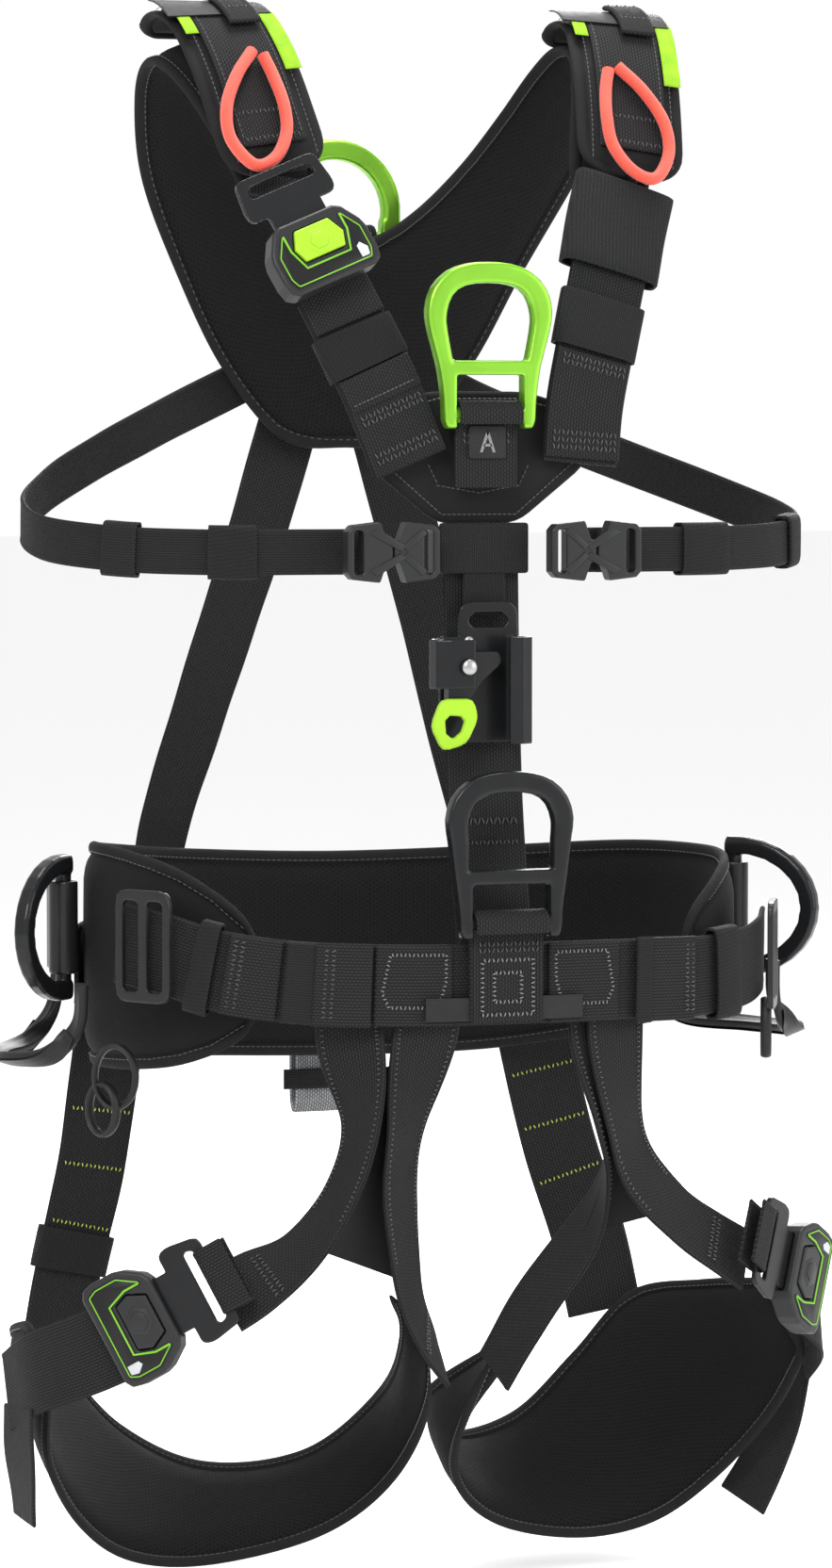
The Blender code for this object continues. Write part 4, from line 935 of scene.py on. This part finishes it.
LEG_X = 122.0
PAD_ROWS = [
    (-102, -72, -196, -70, -98, -168), (-116, -46, -245, -90, -66, -200),
    (-108, -8, -294, -112, 26, -246), (-72, 12, -326, -82, 68, -286),
    (-10, 25, -341, -26, 88, -293), (40, 20, -335, 22, 100, -270),
    (76, 4, -310, 62, 96, -228), (104, -26, -268, 98, 62, -204), (114, -58, -224, 110, -8, -188)]
LEG_WEBS = {
    "riser": {
        -1: [(19, 118, -22, -172, 0), (24, 117, -60, -172, 0), (33, 117, -120, -170, 0),
             (46, 118, -176, -168, 4), (56, 117, -222, -166, 10)],
        1: [(-2, 126, -22, 172, 0), (6, 125, -60, 172, 0), (20, 122, -120, 170, 0),
            (38, 119, -176, 168, 4), (48, 117, -222, 166, 10)]},
    "outer": {
        -1: [(-38, -124.5, -2, -16, 0), (-38, -125, -24, -24, 0), (-42, -133, -70, -76, 4),
             (-30, -134, -108, -80, 22), (-8, -133, -138, -64, 40), (20, -131, -156, -34, 18),
             (36, -127, -166, -27, 6)],
        1: [(-50, -130.6, -2, 13, 0), (-50, -130.6, -30, 14, 0), (-46, -133, -74, 36, 0),
            (-36, -133, -104, 36, 6), (-12, -131, -130, 38, 14), (14, -127, -148, 42, 12), (34, -121, -160, 44, 6)]},
    "inner": {
        -1: [(-80, -134.4, -2, -5, 0), (-79, -133.6, -24, -4, 0), (-70, -130, -70, 34, 0),
             (-68, -124, -108, 40, 0), (-76, -112, -150, 46, 0), (-88, -97, -182, 60, 0), (-112, -74, -216, 84, 0)],
        1: [(-60, -127.6, -2, 13, 0), (-60, -127.6, -28, 14, 0), (-56, -130, -72, 50, 0),
            (-52, -124, -104, 70, 0), (-62, -114, -140, 92, 0), (-84, -96, -180, 98, 0), (-101, -76, -222, 96, 0)]},
    "buckle": {
        -1: [(80, -97, -186, -38, 0), (100, -84, -197, -54, 0), (121, -58, -210, -76, 0),
             (127, -22, -226, -92, 0)],
        1: [(82.5, -88, -184, 40, 0), (96.8, -76.4, -194, 56, 0), (109, -58, -208, 76, 0),
            (114, -22, -226, 92, 0)]}}


def gusset(name, one, one_span, other, other_span, sag=4.0):
    """A piece of fabric sewn between two straps."""
    rows, steps = 18, 10
    rings, cloth = [], []
    for s in np.linspace(0, 1, rows):
        a = one.at(one_span[0] + (one_span[1] - one_span[0]) * s, 0, -1.2)
        b = other.at(other_span[0] + (other_span[1] - other_span[0]) * s, 0, -1.2)
        across = np.linspace(0, 1, steps)[:, None]
        line = a + (b - a) * across
        line[:, 1] += np.sin(np.pi * across[:, 0]) * sag * (0.3 + 0.7 * s)
        near, far = line + [0, -0.6, 0], line + [0, 0.6, 0]
        rings.append(np.vstack([near, far[::-1]]))
        wide = np.linalg.norm(b - a)
        flat = np.stack([across[:, 0] * wide, np.full(steps, s * (one_span[1] - one_span[0]))], -1)
        cloth.append(np.vstack([flat, flat[::-1]]))
    obj = skin(name, np.array(rings), np.array(cloth), np.full((rows, steps * 2), 8.0))
    bpy.context.view_layer.objects.active = obj
    bpy.ops.object.mode_set(mode="EDIT")
    bpy.ops.mesh.select_all(action="SELECT")
    bpy.ops.mesh.normals_make_consistent(inside=False)
    bpy.ops.object.mode_set(mode="OBJECT")
    return fit(obj, "harness", FABRIC, "padding")


for side, name in ((-1, "left"), (1, "right")):
    scale = 1.0 if side < 0 else 0.9
    rises = (0,) * 9 if side < 0 else (0, 0, 0, 6, 18, 26, 20, 6, 0)
    edges = [(side * (LEG_X + a * scale), b, c, side * (LEG_X + d * scale), e, f + rise)
             for (a, b, c, d, e, f), rise in zip(PAD_ROWS, rises)]
    sling = pad_route(edges)
    fit(padding(name + "_leg_padding", sling, 10.0, 14.0, inner_sign=side), "harness", SPACER, "padding",
        "leg_pad_" + name)
    binding = Seam(name + "_leg_binding_stitches")
    spots = np.arange(8, sling.length - 8, 18.0)
    for edge in (-1, 1):
        for face in (-1, 1):
            binding.line(sling, [(a, edge * (np.interp(a, sling.run, sling.half) - 5.6)) for a in spots],
                         face * 2.2, 3.6)
    binding.sew("harness", BLACK_THREAD, 0.6)
    webs = {}
    for kind, wide in (("riser", 45.0), ("outer", 38.0), ("inner", 38.0), ("buckle", 45.0)):
        rows = [(side * (LEG_X + x), y, z, h, t) for x, y, z, h, t in LEG_WEBS[kind][side]]
        webs[kind] = strap_route(rows, wide)
        band("%s_leg_%s_strap" % (name, kind), webs[kind], 2.6, BLACK_WEB,
             nodes=("leg_%s_web_%s" % (kind, name),), wave=0.25)
    rows = ((66, 99, 134) if side < 0 else (54, 87, 120))
    lime = Seam(name + "_riser_stitches")
    for a in rows:
        for face in (-1, 1):
            lime.line(webs["riser"], [(a, -20), (a, 20)], face * 1.55, 2.8, 2.2)
    lime.sew("harness", LIME_THREAD, 0.8)
    edging = Seam(name + "_leg_strap_stitches")
    for kind in ("outer", "inner"):
        length = webs[kind].length
        for u in (-15, 15):
            edging.line(webs[kind], [(10, u), (length * 0.62, u)], 1.55, 2.8, 2.0)
        edging.line(webs[kind], [(length - 30, -14), (length - 30, 14)], 1.55, 2.6, 2.6)
        edging.line(webs[kind], [(length - 26, -14), (length - 26, 14)], 1.55, 2.6, 2.6)
    edging.sew("harness", BLACK_THREAD)
    if side < 0:
        gusset("left_leg_gusset", webs["outer"], (42, 144), webs["inner"], (36, 168))
        sleeve("left_riser_keeper", webs["riser"], 138, 162, 1.0, 4.0, 1.5, ELASTIC)
    else:
        gusset("right_leg_gusset", webs["inner"], (40, 146), webs["outer"], (42, 136))

# --- latching buckles ---------------------------------------------------------------
# A housing of moulded nylon over steel latches. Pressing its button frees the flat
# forged tongue. A gloss panel with a lime line frames the button.


def line_round(name, outline, thick, high, place, finish, body):
    """A raised line laid along an open or closed outline on a flat face."""
    points = np.array(outline, float)
    data = bpy.data.curves.new(name, "CURVE")
    data.dimensions = "3D"
    data.bevel_depth = thick / 2 * MM
    data.bevel_resolution = 2
    data.use_fill_caps = True
    spline = data.splines.new("POLY")
    spline.points.add(len(points) - 1)
    for point, (u, v) in zip(spline.points, points):
        point.co = (u * MM, v * MM, high * MM, 1)
    obj = bpy.data.objects.new(name, data)
    bpy.context.scene.collection.objects.link(obj)
    bpy.context.view_layer.objects.active = obj
    obj.select_set(True)
    bpy.ops.object.convert(target="MESH")
    obj = bpy.context.object
    obj.select_set(False)
    obj.data.transform(place)
    return fit(obj, body, finish, "lime_plastic")


def dress_buckle(name, centre, heading, tilt, roll, button_finish, button_slot):
    place = placed(centre, heading, tilt, roll)
    worn_solid(name + "_housing", name + "_shell", 0.6, 5, name, GREY_NYLON, "grey_plastic")
    worn_solid(name + "_tongue", name + "_forged_tongue", 0.5, 3, "harness", DARK_METAL, "black_aluminium")
    top = 7.0
    panel = [(-25, -16.5), (25, -16.5), (27.5, -11), (27.5, 3), (20, 14), (17.5, 14), (17.5, 4), (13.6, -6.5),
             (-13.6, -6.5), (-17.5, 4), (-17.5, 14), (-20, 14), (-27.5, 3), (-27.5, -11)]
    fit(cut_plate(name + "_panel", panel, top - 0.6, top + 0.5, place, 0.3, 2), name, GLOSS_BLACK,
        "black_plastic")
    outline = rounded([(19.2, 13.4), (26.2, 2.8), (26.2, -10.5), (24, -15.3), (-24, -15.3), (-26.2, -10.5),
                       (-26.2, 2.8), (-19.2, 13.4)], 0.8, 2)
    line_round(name + "_outline", outline, 0.7, top + 0.5, place, LIME_PAINT, name)
    line_round(name + "_button_line", [(-18.6, 13.4), (-18.6, 4.2), (-14.4, -7.6), (14.4, -7.6), (18.6, 4.2),
                                       (18.6, 13.4)], 1.3, top + 0.5, place, LIME_PAINT, name)
    fit(cut_plate(name + "_film", [(18.5, -14), (23.5, -14), (24.5, -9.5), (21, -5.5), (18.5, -7)],
                  top + 0.45, top + 0.75, place, 0.1, 1), name, SILVER_FILM, "grey_plastic")
    button = name + "_button"
    worn_solid(button, name + "_button_cap", 0.45, 3, button, button_finish, button_slot)
    for k, (size, rise) in enumerate(((9.0, 1.5), (6.0, 2.1))):
        ring = [(size * np.cos(a), 4.2 + size * 0.86 * np.sin(a)) for a in np.radians(np.arange(0, 360, 60))]
        fit(cut_plate("%s_button_step_%d" % (name, k), ring, top + 0.6, top + rise, place, 0.5, 3), button,
            button_finish, button_slot)


def bar_loop(name, centre, heading, tilt, roll, wide=38.0, away=50.5):
    """Webbing wrapped over the outer bar of a tongue's frame, seen end on as a hairpin."""
    place = placed(centre, heading, tilt, roll)
    turn = np.radians(np.arange(90, 271, 20))
    hairpin = [(14.0, 4.2)] + [(3.6 * np.cos(a), 4.2 * np.sin(a)) for a in turn] + [(14.0, -4.2)]
    spots = np.array([place @ Matrix.Translation((0, (away + u) * MM, v * MM)).to_translation()
                      for u, v in hairpin]) / MM
    side = np.array(place.to_3x3().col[0])
    loop = Route(spots, np.tile(side, (len(spots), 1)), np.full(len(spots), wide / 2))
    band(name, loop, 2.2, BLACK_WEB)


dress_buckle("shoulder_buckle", (-94, -104, 406), 0, 20, 23, LIME_NYLON, "lime_plastic")
dress_buckle("leg_buckle_left", (-202, -110, -178), -35, 4, -60, GREY_NYLON, "grey_plastic")
dress_buckle("leg_buckle_right", (197, -107, -172), 38, 4, 60, GREY_NYLON, "grey_plastic")
for name, rows in (
        ("right_leg_spare_end", [(238, -20, -190, 90, 0), (237, -10, -240, 92, 0), (226, 0, -290, 96, 6),
                                 (211, 5, -322, 98, 10)]),
        ("left_leg_spare_end", [(-247, -36, -232, -86, 0), (-247, -38, -262, -88, 0),
                                (-244, -38, -296, -92, 4)])):
    band(name, strap_route(rows, 44), 2.4, BLACK_WEB, wave=0.5, round_ends=True)
bar_loop("left_leg_bar_loop", (-202, -110, -178), -35, 4, -60)
bar_loop("right_leg_bar_loop", (197, -107, -172), 38, 4, 60)

# --- chest clips ----------------------------------------------------------------------
# Side-release clips moulded in nylon, one on each side of the chest's centre web.

for name in ("left", "right"):
    worn_solid("chest_clip_socket_" + name, name + "_clip_socket", 0.5, 4, "harness", GREY_NYLON,
               "grey_plastic")
    worn_solid("chest_clip_plug_" + name, name + "_clip_plug", 0.5, 4, "chest_clip_" + name, GREY_NYLON,
               "grey_plastic")
    for part, body in (("socket", "harness"), ("plug", "chest_clip_" + name)):
        low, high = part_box("chest_clip_%s_%s" % (part, name))
        mid = (low + high) / 2 / MM
        half_wide, half_high = (high.x - low.x) / 2 / MM, (high.z - low.z) / 2 / MM
        face = placed((mid.x, low.y / MM + 0.4, mid.z), 0)
        for lean in (-1, 1):
            arm = [(-half_wide * 0.42, lean * half_high * 0.62), (-half_wide * 0.20, lean * half_high * 0.78),
                   (half_wide * 0.62, lean * half_high * 0.20), (half_wide * 0.46, lean * half_high * 0.02)]
            if (part == "socket") == (name == "left"):
                arm = [(-u, v) for u, v in arm]
            fit(cut_plate("%s_clip_%s_arm_%d" % (name, part, lean > 0), arm, 0.0, 1.1, face, 0.5, 2), body,
                GREY_NYLON, "grey_plastic")

# --- chest ascender ---------------------------------------------------------------------
# A folded plate holds the rope against a toothed steel cam, which the lime lever opens.
# Two bright rivets hold the frame and carry the cam.

worn_solid("ascender_frame", "ascender_folded_frame", 0.55, 4, "harness", DARK_METAL, "black_aluminium")
worn_solid("ascender_pin", "ascender_axle", 0.45, 2, "harness", BRIGHT_STEEL, "steel")
worn_solid("ascender_cam", "ascender_toothed_cam", 0.45, 2, "ascender_cam", DARK_STEEL, "steel")
worn_solid("ascender_lever", "ascender_release_lever", 0.45, 3, "ascender_lever", LIME_NYLON, "lime_plastic")


def rivet(name, centre, radius, high):
    """A domed rivet head."""
    bpy.ops.mesh.primitive_uv_sphere_add(segments=32, ring_count=16, radius=radius * MM, location=(0, 0, 0))
    obj = bpy.context.object
    obj.name = obj.data.name = name
    for vert in obj.data.vertices:
        vert.co.z *= high / radius if vert.co.z > 0 else 0.3
    place = placed(centre, 0)
    obj.data.transform(place)
    obj.data.update()
    return fit(obj, "harness", BRIGHT_STEEL, "steel")


rivet("cam_rivet", (-20, -142.4, 179), 4.4, 2.0)
rivet("frame_rivet", (-12, -120.6, 192.4), 3.0, 1.8)

# --- studio -------------------------------------------------------------------
# A pale floor, soft light from both sides and the camera.

bpy.ops.mesh.primitive_plane_add(size=60, location=(0, 0, -0.362))
floor = bpy.context.object
floor.name = "floor"
floor_finish = Finish("floor", (0.92, 0.92, 0.92), 0.9)
floor.data.materials.append(floor_finish.made)
world = bpy.data.worlds.new("studio")
bpy.context.scene.world = world
world.use_nodes = True
world.node_tree.nodes["Background"].inputs["Color"].default_value = (1.0, 1.0, 1.0, 1)
world.node_tree.nodes["Background"].inputs["Strength"].default_value = 1.0
for name, place, aim, size, power in (
        ("key", (-1.6, -2.2, 1.9), (0, 0, 0.1), 1.2, 62), ("fill", (2.0, -1.8, 0.8), (0, 0, 0.1), 1.6, 26),
        ("top", (0.3, 0.3, 2.4), (0, 0, 0.1), 1.0, 48), ("rim", (1.3, 2.0, 1.2), (0, 0, 0.2), 1.0, 40)):
    light = bpy.data.lights.new(name, "AREA")
    light.energy, light.size = power, size
    lamp = bpy.data.objects.new(name, light)
    bpy.context.scene.collection.objects.link(lamp)
    lamp.location = place
    way = Matrix.Translation(aim).to_translation() - lamp.location
    lamp.rotation_euler = way.to_track_quat("-Z", "Y").to_euler()

lens = bpy.data.cameras.new("camera")
lens.lens, lens.sensor_width = 136.2, 36.0
camera = bpy.data.objects.new("camera", lens)
bpy.context.scene.collection.objects.link(camera)
camera.location = (-1.211, -3.163, 0.314)
way = Matrix.Translation((0.005, 0.005, 0.106)).to_translation() - camera.location
camera.rotation_euler = way.to_track_quat("-Z", "Y").to_euler()
bpy.context.scene.camera = camera
bpy.context.scene.view_settings.view_transform = "Standard"
